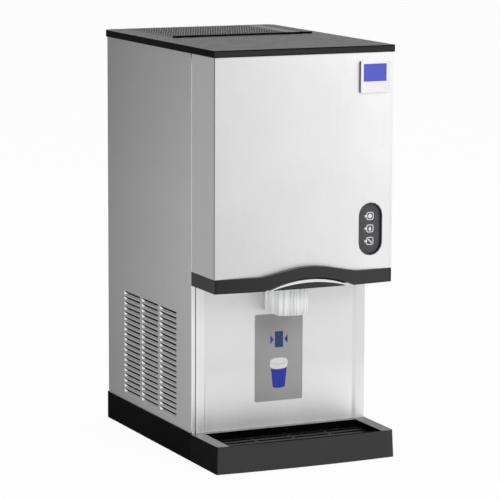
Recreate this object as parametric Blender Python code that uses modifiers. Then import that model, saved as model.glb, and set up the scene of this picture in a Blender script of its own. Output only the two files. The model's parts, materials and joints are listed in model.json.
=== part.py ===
"""Countertop ice dispenser: cabinet, hood over a cup recess, ice maker, bin and dispensing gate.

Metres, +Z up. The machine faces -Y and stands on z = 0. Depths are setbacks, measured
from the front face of the hood towards the back.
"""

import math

import bmesh
import bpy
from mathutils import Matrix, Vector

for old_object in list(bpy.data.objects):
    bpy.data.objects.remove(old_object)

# Cabinet
CABINET_WIDTH = 0.413
CABINET_HEIGHT = 0.889
CABINET_DEPTH = 0.6096
CABINET_CORNER = 0.019
HOOD_OVERHANG = 0.1215
FITTING_PROUD = 0.012
SHEET = 0.0012
BEND = 0.0015
SEAM = 0.0006
SEAT_GAP = 0.0003
RUNNING_GAP = 0.0005
OVERRUN = 0.002
WELD = 0.00001
FLAT_DEGREES = 0.1

# Base and feet
FOOT_RADIUS = 0.016
FOOT_HEIGHT = 0.0015
FOOT_INSET = 0.030
BASE_HEIGHT = 0.0605
BASE_PROUD = 0.0025
BASE_FLOOR = 0.003
BASE_LIP_HEIGHT = 0.0123

# Drip tray and its grille
TRAY_HEIGHT = 0.0605
TRAY_NOSE = 0.0182
TRAY_BOW = 0.0075
TRAY_DRAFT = 0.0025
TRAY_SIDE_DRAFT = 0.0020
TRAY_CORNER = 0.004
TRAY_SIDE_RIM = 0.029
TRAY_FRONT_RIM = 0.0045
TRAY_REAR_RIM = 0.0125
TRAY_FLOOR = 0.010
GRILLE_DROP = 0.0110
GRILLE_THICKNESS = 0.004
GRILLE_LEDGE = 0.005
GRILLE_BORDER = 0.0055
GRILLE_RIB = 0.006
GRILLE_SLOT_WIDTH = 0.0105
GRILLE_ROWS = 5
GRILLE_COLUMNS = 4
SPIGOT_RADIUS = 0.006
SPIGOT_BORE = 0.0042
SPIGOT_HEIGHT = 0.020
SPIGOT_REACH = 0.010
SPIGOT_INSET = 0.015

# Cap and intake grille
CAP_HEIGHT = 0.0145
CAP_OVERHANG = 0.003
CAP_TOP = 0.003
CAP_FRONT_CORNER = 0.003
INTAKE_LEFT_MARGIN = 0.0535
INTAKE_RIGHT_MARGIN = 0.0255
INTAKE_DEPTH = 0.262
INTAKE_BACK_MARGIN = 0.0096
INTAKE_LEDGE = 0.005
INTAKE_LEDGE_THICKNESS = 0.003
INTAKE_FIELD_MARGIN = 0.010
INTAKE_ROWS = 17
INTAKE_COLUMNS = 2
INTAKE_BAR = 0.0055
INTAKE_LIP_RISE = 0.0035
INTAKE_LIP_DEPTH = 0.006
NOTCH_DEPTH = 0.0018
NOTCH_REACH = 0.011
NOTCH_HALF_WIDTH = 0.014
NOTCH_LEFT_INSETS = (0.010, 0.040)
NOTCH_RIGHT_INSETS = (0.067, 0.039)

# Side panels and their louvres
FRONT_RETURN = 0.0095
REAR_RETURN = 0.012
LOUVRE_COLUMNS = 3
LOUVRE_ROWS = 20
LOUVRE_FIRST_SETBACK = 0.2014
LOUVRE_BAR = 0.0105
LOUVRE_REAR_MARGIN = 0.1010
LOUVRE_TOP = 0.3114
LOUVRE_PITCH = 0.01174
LOUVRE_SLOT = 0.0048
LOUVRE_BLADE = 0.0054
LOUVRE_DEPTH = 0.0046
LOUVRE_END = 0.013

# Rear panel and screws
SCREW_HEAD_RADIUS = 0.004
SCREW_HEAD_HEIGHT = 0.0018
SCREW_SHANK_RADIUS = 0.0016
SCREW_LENGTH = 0.008
SCREW_ROWS = 3
SCREW_MARGIN = 0.040

# Front trim, its wave and its arch
TRIM_BOTTOM = 0.3820
TRIM_HEIGHT = 0.0298
TRIM_WALL = 0.0025
TRIM_DEPTH = 0.0095
TRIM_BOW = 0.012
TRIM_FLANGE = 0.016
WAVE_RISE = 0.017
WAVE_HALF = 0.118
WAVE_SHAPE_SHARE = 0.75
ARCH_X = 0.009
ARCH_HALF = 0.104
ARCH_RISE = 0.023
ACCENT_HALF = 0.0925
ACCENT_PEAK = 0.0188
ACCENT_CROWN = 0.006
ACCENT_END = 0.004
CRESCENT_PLATE = 0.002
CRESCENT_FOOT = 0.0006
GROOVE = 0.0035

# Front panel, control pod and badge
PANEL_DEPTH = 0.012
POD_SIDE = 0.0507
POD_Z = 0.4987
POD_WIDTH = 0.056
POD_HEIGHT = 0.114
POD_DEPTH = 0.014
POD_WALL = 0.0022
POD_PROUD = 0.0006
POD_RECESS = 0.007
POD_FLANGE = 0.004
OVERLAY_THICKNESS = 0.0012
LAMP_RADIUS = 0.0025
LAMP_PITCH = 0.02685
LAMP_OFFSET = 0.0088
LAMP_PROUD = 0.0006
BADGE_SIDE = 0.0455
BADGE_DROP = 0.0657
BADGE_WIDTH = 0.0680
BADGE_HEIGHT = 0.0663
BADGE_DEPTH = 0.008
BADGE_CORNER = 0.002
BADGE_RIM = 0.0012
BADGE_POCKET = 0.0005

# Recess back panel, label and sensor
BAND_WIDTH = 0.020
BAND_STEP = 0.001
SPLASH_FLANGE = 0.009
LABEL_WIDTH = 0.113
LABEL_BOTTOM = 0.116
LABEL_TOP = 0.307
LABEL_CORNER = 0.0035
LABEL_THICKNESS = 0.0006
SENSOR_WIDTH = 0.019
SENSOR_BOTTOM = 0.233
SENSOR_TOP = 0.268
SENSOR_MARGIN = 0.013
SENSOR_DEPTH = 0.012

# Hood floor, nozzle, chute and gate
FLOOR_SHEET = 0.0015
NOZZLE_HALF = 0.037
NOZZLE_FRONT = 0.037
NOZZLE_BACK = 0.120
NOZZLE_BOTTOM = 0.316
NOZZLE_WALL = 0.0025
NOZZLE_FLANGE = 0.004
NOZZLE_FLANGE_THICKNESS = 0.0025
FLUTE_COUNT = 30
FLUTE_DEPTH = 0.0011
CHUTE_HALF = 0.0325
CHUTE_WALL = 0.002
CHUTE_DROP = 0.0065
CHUTE_FLANGE = 0.005
GATE_GAP = 0.002
GATE_THICKNESS = 0.002
GATE_DROP = 0.0085
GATE_PIN_RADIUS = 0.002
GATE_PIN_SETBACK = 0.1105
GATE_OPEN_DEGREES = 75
LEVER_LENGTH = 0.012
LEVER_THICKNESS = 0.002
LEVER_CLEARANCE = 0.004
LEVER_HALF_WIDTH = 0.0035
LEVER_PIN_RADIUS = 0.00125
HEAD_THICKNESS = 0.003
HEAD_MARGIN = 0.0028
HEAD_SLOT_PLAY = 0.0008
PLUNGER_RADIUS = 0.004
PLUNGER_ENTRY = 0.008
SOLENOID_SETBACK = 0.135
SOLENOID_LENGTH = 0.035
SOLENOID_HALF = 0.013
SOLENOID_BELOW = 0.016

# Bin, its cradle, lid and agitator
CRADLE_INSET = 0.028
CRADLE_PLATE_Z = 0.4520
CRADLE_FRONT = 0.030
CRADLE_BACK = 0.265
BIN_SIDE_GAP = 0.007
BIN_FRONT = 0.022
BIN_BACK = 0.272
BIN_HEADROOM = 0.039
BIN_WALL = 0.008
BIN_CORNER = 0.030
DROP_HALF = 0.026
LID_THICKNESS = 0.005
LID_SKIRT = 0.010
AGITATOR_SETBACK = 0.150
AGITATOR_RADIUS = 0.110
AGITATOR_HUB_RADIUS = 0.016
AGITATOR_HUB_HEIGHT = 0.110
AGITATOR_LIFT = 0.006
AGITATOR_ARM_HEIGHT = 0.012
AGITATOR_ARM_THICKNESS = 0.007
AGITATOR_UPPER_RADIUS = 0.075
AGITATOR_ARMS = 3
SHAFT_RADIUS = 0.006
SHAFT_ENTRY = 0.012
AGITATOR_MOTOR_RADIUS = 0.027
AGITATOR_MOTOR_HEIGHT = 0.050

# Chassis and frame
CHASSIS_SHEET = 0.0015
CHASSIS_RIM = 0.012
CHASSIS_LEFT_GAP = 0.037
CHASSIS_RIGHT_GAP = 0.015
CHASSIS_FRONT = 0.165
CHASSIS_REAR_GAP = 0.0446
POST_WIDTH = 0.020
POST_SHEET = 0.0015
POST_FRONT = 0.1368
RAIL_HEIGHT = 0.020
MID_RAIL_DROP = 0.269
REAR_RAIL_Z = 0.430

# Ice maker
MAKER_SIDE = 0.110
MAKER_SETBACK = 0.335
GEARBOX_HALF = 0.050
GEARBOX_HEIGHT = 0.0784
DRIVE_RADIUS = 0.034
DRIVE_LENGTH = 0.090
DRIVE_HEIGHT = 0.040
EVAPORATOR_RADIUS = 0.050
EVAPORATOR_BORE = 0.0315
EVAPORATOR_HEIGHT = 0.3147
PORT_RADIUS = 0.006
PORT_REACH = 0.012
LIQUID_PORT_Z = 0.110
WATER_PORT_Z = 0.150
SUCTION_PORT_DROP = 0.040
AUGER_RADIUS = 0.030
AUGER_CORE = 0.012
AUGER_FLIGHT = 0.003
AUGER_PITCH = 0.050
AUGER_SHAFT = 0.010
HEAD_HEIGHT = 0.0397
ICE_TUBE_RADIUS = 0.014
ICE_TUBE_BORE = 0.0115
ICE_TUBE_DROP = 0.079
ICE_TUBE_BEND = 0.030
ICE_TUBE_ENTRY = 0.0065

# Compressor, condenser and fan
COMPRESSOR_SIDE = 0.120
COMPRESSOR_REAR = 0.1196
COMPRESSOR_RADIUS = 0.074
COMPRESSOR_HEIGHT = 0.168
COMPRESSOR_PLATE_X = 0.080
COMPRESSOR_PLATE_Y = 0.060
COMPRESSOR_PLATE = 0.003
GROMMET_RADIUS = 0.010
GROMMET_HEIGHT = 0.0134
GROMMET_INSET = 0.014
STUB_RADIUS = 0.005
STUB_TOP = 0.200
SUCTION_OFFSET = (-0.010, -0.040)
DISCHARGE_OFFSET = (0.035, 0.010)
PROCESS_OFFSET = (-0.035, 0.030)
CONDENSER_SIDE = 0.021
CONDENSER_THICKNESS = 0.034
CONDENSER_FRONT = 0.225
CONDENSER_BACK = 0.505
CONDENSER_TOP = 0.300
CONDENSER_FINS = 11
CONDENSER_FIN_SHARE = 0.35
CONDENSER_SPINE = 0.006
CONDENSER_STUB_INSET = 0.010
CONDENSER_STUB_REACH = 0.008
CONDENSER_INLET_Z = 0.285
CONDENSER_OUTLET_Z = 0.035
RETURN_BENDS = 3
RETURN_PITCH = 0.060
RETURN_RADIUS = 0.0045
FAN_SETBACK = 0.365
FAN_Z = 0.165
FAN_RADIUS = 0.095
FAN_TIP_GAP = 0.005
FAN_CLEARANCE = 0.015
FAN_HALF_CHORD = 0.020
FAN_PITCH_DEGREES = 30
FAN_BLADES = 5
FAN_BLADE_THICKNESS = 0.002
FAN_CAMBER = 0.004
FAN_HUB_RADIUS = 0.018
FAN_HUB_HALF = 0.010
FAN_SHAFT_RADIUS = 0.004
SHROUD_SHEET = 0.0015
COLLAR_DEPTH = 0.028
FAN_MOTOR_RADIUS = 0.032
FAN_MOTOR_LENGTH = 0.055
FAN_MOTOR_CLEARANCE = 0.035
FAN_ARM_HALF = 0.008
FAN_ARM_THICKNESS = 0.003
FAN_ARM_CLEARANCE = 0.0035

# Refrigerant pipes and drier
LINE_RADIUS = 0.004
SUCTION_RADIUS = 0.005
CAPILLARY_RADIUS = 0.0025
LINE_BEND = 0.015
DISCHARGE_RISE_Z = 0.270
DISCHARGE_REAR_GAP = 0.0746
DRIER_REAR_GAP = 0.0796
DRIER_CAPILLARY_GAP = 0.015
DRIER_CONDENSER_GAP = 0.050
DRIER_RADIUS = 0.010
DRIER_FOOT = 0.010
CAPILLARY_GAP_SHARE = 0.4086

# Water side
TANK_WIDTH = 0.100
TANK_SIDE = 0.045
TANK_DEPTH = 0.120
TANK_REAR_GAP = 0.0276
TANK_BOTTOM = 0.440
TANK_TOP = 0.540
TANK_WALL = 0.0025
TANK_HOOK = 0.003
TANK_HOOK_HALF = 0.030
LUG_THICKNESS = 0.003
LUG_SPREAD = 0.0035
LUG_REACH = 0.012
LUG_HEIGHT = 0.012
FLOAT_PIN_RADIUS = 0.0018
FLOAT_PIN_DROP = 0.016
FLOAT_RADIUS = 0.017
FLOAT_ARM = 0.0554
FLOAT_SAG = 0.0468
FLOAT_ARM_HALF = 0.0027
WATER_RADIUS = 0.0032
WATER_BEND = 0.010
INLET_TANK_GAP = 0.040
INLET_Z = 0.360
INLET_REAR_GAP = 0.0796
INLET_ENTRY_Z = 0.525
FEED_INSET = 0.020
FEED_REAR_GAP = 0.1096
FEED_Z = 0.240
FEED_GAP_SHARE = 0.6774
FITTING_RADIUS = 0.006
FITTING_FLANGE = 0.011
FITTING_FLANGE_THICKNESS = 0.003
FITTING_TAIL = 0.020
HOSE_RADIUS = 0.006
HOSE_SIDE = 0.030
HOSE_SWING = 0.024

# Electrical
BOX_WIDTH = 0.1032
BOX_FRONT = 0.300
BOX_BACK = 0.460
BOX_HEIGHT = 0.200
BOX_DROP = 0.089
BOX_CORNER = 0.003
SWITCH_SIDE = 0.0532
SWITCH_DROP = 0.035
SWITCH_HALF_WIDTH = 0.006
SWITCH_HALF_HEIGHT = 0.0095
SWITCH_CROWN = 0.0065
SWITCH_VALLEY = 0.0035
SWITCH_HEEL = 0.003
SWITCH_INSET = 0.002
SWITCH_PLAY = 0.003
SWITCH_TILT_DEGREES = 8
GLAND_SIDE = 0.1065
GLAND_Z = 0.120
GLAND_RADIUS = 0.010
GLAND_BORE = 0.0045
GLAND_FLANGE = 0.016
GLAND_FLANGE_THICKNESS = 0.004
GLAND_TAIL = 0.010

# Derived places
HALF_WIDTH = CABINET_WIDTH / 2
HOOD_Y = (TRAY_NOSE + TRAY_BOW - CABINET_DEPTH - FITTING_PROUD) / 2
BASE_FLOOR_TOP = FOOT_HEIGHT + BASE_FLOOR
BASE_HALF = HALF_WIDTH + BASE_PROUD
BASE_WALL = BASE_PROUD + SHEET
BASE_FRONT = HOOD_OVERHANG - SEAT_GAP
BASE_BACK = CABINET_DEPTH + BASE_PROUD
BASE_LEDGE = BASE_HEIGHT - BASE_LIP_HEIGHT
PANEL_FOOT = BASE_LEDGE + SEAT_GAP
PANEL_TOP = CABINET_HEIGHT - CAP_TOP - SEAT_GAP
TRAY_BACK = BASE_FRONT - SEAT_GAP
TRIM_TOP = TRIM_BOTTOM + TRIM_HEIGHT
TRIM_HALF = HALF_WIDTH - GROOVE
INTAKE_LEFT = HALF_WIDTH - INTAKE_LEFT_MARGIN
INTAKE_RIGHT = HALF_WIDTH - INTAKE_RIGHT_MARGIN
INTAKE_BACK = CABINET_DEPTH - INTAKE_BACK_MARGIN
INTAKE_FRONT = INTAKE_BACK - INTAKE_DEPTH
INTAKE_FIELD_HALF = INTAKE_LEFT - INTAKE_FIELD_MARGIN
NOTCH_PLACES = [inset - INTAKE_LEFT for inset in NOTCH_LEFT_INSETS]
NOTCH_PLACES += [INTAKE_RIGHT - inset for inset in NOTCH_RIGHT_INSETS]
LOUVRE_COLUMN_PITCH = (CABINET_DEPTH - LOUVRE_REAR_MARGIN - LOUVRE_FIRST_SETBACK) / LOUVRE_COLUMNS
LOUVRE_LENGTH = LOUVRE_COLUMN_PITCH - LOUVRE_BAR
POD_X = HALF_WIDTH - POD_SIDE
BADGE_X = HALF_WIDTH - BADGE_SIDE
BADGE_Z = CABINET_HEIGHT - BADGE_DROP
WING_BACK = HOOD_OVERHANG - SEAM
FLOOR_Z = TRIM_BOTTOM + TRIM_WALL + SEAT_GAP
FLOOR_TOP = FLOOR_Z + FLOOR_SHEET
SPLASH_TOP = FLOOR_Z - SEAT_GAP
SPLASH_FACE = HOOD_OVERHANG + BAND_STEP + BAND_STEP / 2
SPLASH_REAR = SPLASH_FACE + SHEET
NOZZLE_CENTRE = NOZZLE_FRONT + NOZZLE_HALF
CHUTE_BACK = NOZZLE_BACK - NOZZLE_WALL - OVERRUN / 2
CHUTE_TOP = CRADLE_PLATE_Z - SEAT_GAP
GATE_Z = CRADLE_PLATE_Z - GATE_DROP
GATE_HALF = CHUTE_HALF - CHUTE_WALL - GATE_GAP
LEVER_X = CHUTE_HALF + LEVER_CLEARANCE
PLUNGER_X = LEVER_X + LEVER_THICKNESS + HEAD_THICKNESS / 2 + LEVER_CLEARANCE * 0.75
LEVER_TILT = math.radians(GATE_OPEN_DEGREES) / 2
PIN_HIGH = GATE_Z - LEVER_LENGTH * math.cos(LEVER_TILT)
PIN_LOW = GATE_Z - LEVER_LENGTH
PIN_SETBACK = GATE_PIN_SETBACK - LEVER_LENGTH * math.sin(LEVER_TILT)
PLUNGER_Z = (PIN_HIGH + PIN_LOW) / 2
BIN_BASE = CRADLE_PLATE_Z + SHEET + SEAT_GAP
BIN_FLOOR_TOP = BIN_BASE + BIN_WALL
BIN_TOP = CABINET_HEIGHT - BIN_HEADROOM
LID_BASE = BIN_TOP + SEAT_GAP
POST_HALF = HALF_WIDTH - SHEET - SEAT_GAP
POST_INNER = POST_HALF - POST_WIDTH
BIN_HALF = POST_INNER - BIN_SIDE_GAP
CRADLE_HALF = BIN_HALF - CRADLE_INSET
MID_RAIL_Z = CABINET_HEIGHT - MID_RAIL_DROP
CHASSIS_LEFT = POST_HALF - CHASSIS_LEFT_GAP
CHASSIS_RIGHT = POST_HALF - CHASSIS_RIGHT_GAP
CHASSIS_BACK = CABINET_DEPTH - CHASSIS_REAR_GAP
MAKER_X = MAKER_SIDE - POST_HALF
COMPRESSOR_X = COMPRESSOR_SIDE - POST_HALF
COMPRESSOR_SETBACK = CABINET_DEPTH - COMPRESSOR_REAR
SUCTION_STUB = (COMPRESSOR_X + SUCTION_OFFSET[0], COMPRESSOR_SETBACK + SUCTION_OFFSET[1])
DISCHARGE_STUB = (COMPRESSOR_X + DISCHARGE_OFFSET[0], COMPRESSOR_SETBACK + DISCHARGE_OFFSET[1])
PROCESS_STUB = (COMPRESSOR_X + PROCESS_OFFSET[0], COMPRESSOR_SETBACK + PROCESS_OFFSET[1])
CONDENSER_OUTER = POST_HALF - CONDENSER_SIDE
CONDENSER_INNER = CONDENSER_OUTER - CONDENSER_THICKNESS
CONDENSER_STUB_X = CONDENSER_INNER + CONDENSER_STUB_INSET
FAN_X = CONDENSER_INNER - FAN_CLEARANCE
FAN_MOTOR_FRONT = CONDENSER_INNER - FAN_MOTOR_CLEARANCE
DISCHARGE_REAR = CABINET_DEPTH - DISCHARGE_REAR_GAP
DRIER_SETBACK = CABINET_DEPTH - DRIER_REAR_GAP
DRIER_RIGHT = CONDENSER_INNER - DRIER_CONDENSER_GAP
AISLE_LEFT = MAKER_X + EVAPORATOR_RADIUS + PORT_REACH
AISLE_WIDTH = FAN_MOTOR_FRONT - FAN_MOTOR_LENGTH - AISLE_LEFT
CAPILLARY_X = AISLE_LEFT + AISLE_WIDTH * CAPILLARY_GAP_SHARE
DRIER_LEFT = CAPILLARY_X + DRIER_CAPILLARY_GAP
FEED_DOWN_X = AISLE_LEFT + AISLE_WIDTH * FEED_GAP_SHARE
TANK_RIGHT = POST_HALF - TANK_SIDE
TANK_LEFT = TANK_RIGHT - TANK_WIDTH
TANK_BACK = CABINET_DEPTH - TANK_REAR_GAP
TANK_FRONT = TANK_BACK - TANK_DEPTH
INLET_X = TANK_LEFT - INLET_TANK_GAP
INLET_RISE_SETBACK = CABINET_DEPTH - INLET_REAR_GAP
FEED_X = TANK_LEFT + FEED_INSET
FEED_SETBACK = CABINET_DEPTH - FEED_REAR_GAP
HOSE_X = HOSE_SIDE - HALF_WIDTH
GLAND_X = HALF_WIDTH - GLAND_SIDE
POST_BACK = CABINET_DEPTH - CABINET_CORNER - SEAT_GAP
FRAME_FOOT = BASE_FLOOR_TOP + SEAT_GAP
CHASSIS_TOP = FRAME_FOOT + CHASSIS_SHEET
DECK = CHASSIS_TOP + SEAT_GAP
GEARBOX_TOP = DECK + GEARBOX_HEIGHT
EVAPORATOR_BASE = GEARBOX_TOP + SEAT_GAP
EVAPORATOR_TOP = EVAPORATOR_BASE + EVAPORATOR_HEIGHT
SUCTION_PORT_Z = EVAPORATOR_TOP - SUCTION_PORT_DROP
ICE_TUBE_TOP = CABINET_HEIGHT - ICE_TUBE_DROP
HEAD_BASE = EVAPORATOR_TOP + SEAT_GAP
HEAD_TOP = HEAD_BASE + HEAD_HEIGHT
SHROUD_X = CONDENSER_INNER - SEAT_GAP
SHROUD_FACE = SHROUD_X - SHROUD_SHEET
COLLAR_RADIUS = FAN_RADIUS + FAN_TIP_GAP
INTAKE_SEAT = CABINET_HEIGHT - CAP_TOP + SEAT_GAP
BOX_RIGHT = POST_HALF - POST_SHEET - SEAT_GAP
BOX_LEFT = BOX_RIGHT - BOX_WIDTH
BOX_TOP = CABINET_HEIGHT - BOX_DROP
BOX_BOTTOM = BOX_TOP - BOX_HEIGHT
SWITCH_X = BOX_RIGHT - SWITCH_SIDE
SWITCH_Z = BOX_TOP - SWITCH_DROP
GRILLE_TOP = TRAY_HEIGHT - GRILLE_DROP
GRILLE_BASE = GRILLE_TOP - GRILLE_THICKNESS
WELL_HALF = BASE_HALF - TRAY_SIDE_RIM
WELL_FRONT = TRAY_FRONT_RIM - TRAY_NOSE
WELL_BACK = TRAY_BACK - TRAY_REAR_RIM
SPIGOT_X = SPIGOT_INSET + GRILLE_LEDGE - WELL_HALF

PARTS = bpy.data.collections.new("countertop_ice_dispenser")
CUTTERS = bpy.data.collections.new("cutters")
for group in (PARTS, CUTTERS):
    bpy.context.scene.collection.children.link(group)

# Surface, as sRGB colour, roughness and metallic
SURFACES = {
    "steel": ((0.63, 0.63, 0.63), 0.38, 1.0),
    "front_steel": ((0.86, 0.86, 0.87), 0.42, 0.8),
    "bright_steel": ((0.80, 0.80, 0.80), 0.30, 1.0),
    "black_plastic": ((0.10, 0.10, 0.10), 0.55, 0.0),
    "cap_plastic": ((0.30, 0.30, 0.30), 0.55, 0.0),
    "grille_plastic": ((0.34, 0.37, 0.40), 0.50, 0.0),
    "tray_plastic": ((0.16, 0.16, 0.16), 0.45, 0.0),
    "trim_plastic": ((0.24, 0.25, 0.26), 0.50, 0.0),
    "white_plastic": ((0.86, 0.86, 0.86), 0.35, 0.0),
    "silver_plastic": ((0.80, 0.81, 0.83), 0.30, 0.6),
    "label_grey": ((0.62, 0.62, 0.62), 0.45, 0.0),
    "sensor_blue": ((0.21, 0.29, 0.48), 0.15, 0.0),
    "badge_white": ((0.93, 0.93, 0.95), 0.30, 0.0),
    "pod_grey": ((0.35, 0.35, 0.36), 0.50, 0.0),
    "clear_plastic": ((0.86, 0.88, 0.89), 0.15, 0.0),
    "galvanised": ((0.60, 0.62, 0.63), 0.45, 0.9),
    "foam_white": ((0.88, 0.88, 0.85), 0.60, 0.0),
    "copper": ((0.72, 0.45, 0.32), 0.30, 1.0),
    "brass": ((0.78, 0.64, 0.34), 0.30, 1.0),
    "aluminium": ((0.75, 0.76, 0.77), 0.40, 1.0),
    "motor_black": ((0.12, 0.12, 0.13), 0.50, 0.2),
}


def linear(channel):
    """sRGB channel as the linear value that a shader takes."""
    if channel <= 0.04045:
        return channel / 12.92
    return ((channel + 0.055) / 1.055) ** 2.4


def surface(name):
    """The named Principled material, made on first use."""
    if name in bpy.data.materials:
        return bpy.data.materials[name]
    colour, roughness, metallic = SURFACES[name]
    made = bpy.data.materials.new(name)
    made.use_nodes = True
    shader = made.node_tree.nodes["Principled BSDF"]
    shader.inputs["Base Color"].default_value = (*[linear(channel) for channel in colour], 1)
    shader.inputs["Roughness"].default_value = roughness
    shader.inputs["Metallic"].default_value = metallic
    made.diffuse_color = (*colour, 1)
    return made


def behind(distance):
    """Y of the plane that lies this far behind the hood's front face."""
    return HOOD_Y + distance


def object_from(bm, matrix=None):
    """Scratch object in the cutters' collection, with its faces turned outwards."""
    if matrix is not None:
        bmesh.ops.transform(bm, matrix=matrix, verts=bm.verts)
    bmesh.ops.recalc_face_normals(bm, faces=bm.faces)
    mesh = bpy.data.meshes.new("scratch")
    bm.to_mesh(mesh)
    bm.free()
    made = bpy.data.objects.new("scratch", mesh)
    CUTTERS.objects.link(made)
    return made


def evaluated_bmesh(source):
    """What the object evaluates to, in world space and welded; the object is removed."""
    graph = bpy.context.evaluated_depsgraph_get()
    mesh = bpy.data.meshes.new_from_object(source.evaluated_get(graph))
    bm = bmesh.new()
    bm.from_mesh(mesh)
    bmesh.ops.transform(bm, matrix=source.matrix_world, verts=bm.verts)
    bmesh.ops.remove_doubles(bm, verts=bm.verts, dist=WELD)
    bpy.data.meshes.remove(mesh)
    bpy.data.objects.remove(source)
    return bm


def block(x, y, z):
    """Box between two values along each axis."""
    low = Vector((x[0], y[0], z[0]))
    high = Vector((x[1], y[1], z[1]))
    bm = bmesh.new()
    bmesh.ops.create_cube(bm, size=1)
    bmesh.ops.scale(bm, vec=high - low, verts=bm.verts)
    bmesh.ops.translate(bm, vec=(high + low) / 2, verts=bm.verts)
    return object_from(bm)


AXIS_FRAMES = {
    "X": Matrix.Rotation(math.radians(90), 4, "Y"),
    "Y": Matrix.Rotation(math.radians(-90), 4, "X"),
    "Z": Matrix.Identity(4),
}


def rod(axis, centre, radius, low, high, sides=24, end_radius=None):
    """Cylinder or cone along an axis, between two values on it; centre gives the other two."""
    bm = bmesh.new()
    bmesh.ops.create_cone(bm, cap_ends=True, segments=sides, radius1=radius,
                          radius2=radius if end_radius is None else end_radius, depth=high - low)
    middle = list(centre)
    middle.insert("XYZ".index(axis), (low + high) / 2)
    return object_from(bm, Matrix.Translation(middle) @ AXIS_FRAMES[axis])


def ball(centre, size, segments=12, rings=8):
    """Sphere scaled to three half sizes."""
    bm = bmesh.new()
    bmesh.ops.create_uvsphere(bm, u_segments=segments, v_segments=rings, radius=1)
    return object_from(bm, Matrix.Translation(centre) @ Matrix.Diagonal((*size, 1)))


PLANE_FRAMES = {
    "XY": Matrix.Identity(4),
    "XZ": Matrix(((1, 0, 0, 0), (0, 0, -1, 0), (0, 1, 0, 0), (0, 0, 0, 1))),
    "YZ": Matrix(((0, 0, 1, 0), (1, 0, 0, 0), (0, 1, 0, 0), (0, 0, 0, 1))),
}
PLANE_NORMALS = {"XY": (0, 0, 1), "XZ": (0, 1, 0), "YZ": (1, 0, 0)}


def plate(loops, low, high, plane="XY"):
    """Flat outline with holes, as a filled 2D curve given its thickness between two values."""
    curve = bpy.data.curves.new("outline", "CURVE")
    curve.dimensions = "2D"
    curve.fill_mode = "BOTH"
    curve.extrude = (high - low) / 2
    for loop in loops:
        spline = curve.splines.new("POLY")
        spline.points.add(len(loop) - 1)
        for point, place in zip(spline.points, loop):
            point.co = (place[0], place[1], 0, 1)
        spline.use_cyclic_u = True
    holder = bpy.data.objects.new("outline", curve)
    CUTTERS.objects.link(holder)
    bm = evaluated_bmesh(holder)
    bpy.data.curves.remove(curve)
    bmesh.ops.dissolve_limit(bm, angle_limit=math.radians(FLAT_DEGREES), verts=bm.verts, edges=bm.edges)
    shift = Vector(PLANE_NORMALS[plane]) * (low + high) / 2
    return object_from(bm, Matrix.Translation(shift) @ PLANE_FRAMES[plane])


def tube(points, radius, resolution=2):
    """Round pipe along points, closed at both ends."""
    curve = bpy.data.curves.new("pipe", "CURVE")
    curve.dimensions = "3D"
    curve.bevel_depth = radius
    curve.bevel_resolution = resolution
    curve.use_fill_caps = True
    spline = curve.splines.new("POLY")
    spline.points.add(len(points) - 1)
    for point, place in zip(spline.points, points):
        point.co = (*place, 1)
    holder = bpy.data.objects.new("pipe", curve)
    CUTTERS.objects.link(holder)
    bm = evaluated_bmesh(holder)
    bpy.data.curves.remove(curve)
    return object_from(bm)


def turned(profile, centre, axis="Z", steps=24, ring=False):
    """Profile of radius and height, running down its outer side, turned about an axis."""
    mesh = bpy.data.meshes.new("profile")
    count = len(profile)
    edges = [(index, index + 1) for index in range(count - 1)]
    if ring:
        edges.append((count - 1, 0))
    mesh.from_pydata([(radius, 0, height) for radius, height in profile], edges, [])
    holder = bpy.data.objects.new("profile", mesh)
    CUTTERS.objects.link(holder)
    screw = holder.modifiers.new("turn", "SCREW")
    screw.steps = steps
    screw.render_steps = steps
    screw.use_merge_vertices = True
    screw.merge_threshold = WELD
    bm = evaluated_bmesh(holder)
    place = list(centre)
    place.insert("XYZ".index(axis), 0)
    return object_from(bm, Matrix.Translation(place) @ AXIS_FRAMES[axis])


def filleted(points, radii, steps=3, closed=False):
    """Polyline with its corners rounded, each by its own radius."""
    corners = [Vector(point) for point in points]
    count = len(corners)
    if not hasattr(radii, "__len__"):
        radii = [radii] * count
    path = []
    for index, corner in enumerate(corners):
        ends = not closed and index in (0, count - 1)
        if ends or radii[index] <= 0:
            path.append(corner)
            continue
        before = corners[index - 1] - corner
        after = corners[(index + 1) % count] - corner
        opening = before.angle(after)
        room = [side.length * (0.8 if not closed and other in (0, count - 1) else 0.5)
                for side, other in ((before, index - 1), (after, index + 1))]
        reach = min(radii[index] / math.tan(opening / 2), *room)
        start = before.normalized() * reach
        end = after.normalized() * reach
        middle = (start + end).normalized() * reach / math.cos(opening / 2)
        sweep = math.pi - opening
        for step in range(steps + 1):
            first = math.sin(sweep * (1 - step / steps)) / math.sin(sweep)
            last = math.sin(sweep * step / steps) / math.sin(sweep)
            path.append(corner + middle + (start - middle) * first + (end - middle) * last)
    return path


def folded(points, thickness, radii, steps=3):
    """Outline of a bent sheet along its middle line."""
    path = filleted(points, radii, steps)
    offsets = []
    for index, point in enumerate(path):
        normals = []
        for first, second in ((index - 1, index), (index, index + 1)):
            if first < 0 or second >= len(path):
                continue
            along = (path[second] - path[first]).normalized()
            normals.append(Vector((-along.y, along.x)))
        mean = sum(normals, Vector((0, 0))) / len(normals)
        offsets.append(mean / mean.length_squared * thickness / 2)
    near = [point + offset for point, offset in zip(path, offsets)]
    far = [point - offset for point, offset in zip(path, offsets)]
    return near + far[::-1]


def rectangle(x, y, radii=0, steps=4):
    """Rounded rectangle; radii run left front, right front, right back, left back."""
    corners = [(x[0], y[0]), (x[1], y[0]), (x[1], y[1]), (x[0], y[1])]
    return filleted(corners, radii, steps, closed=True)


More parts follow.
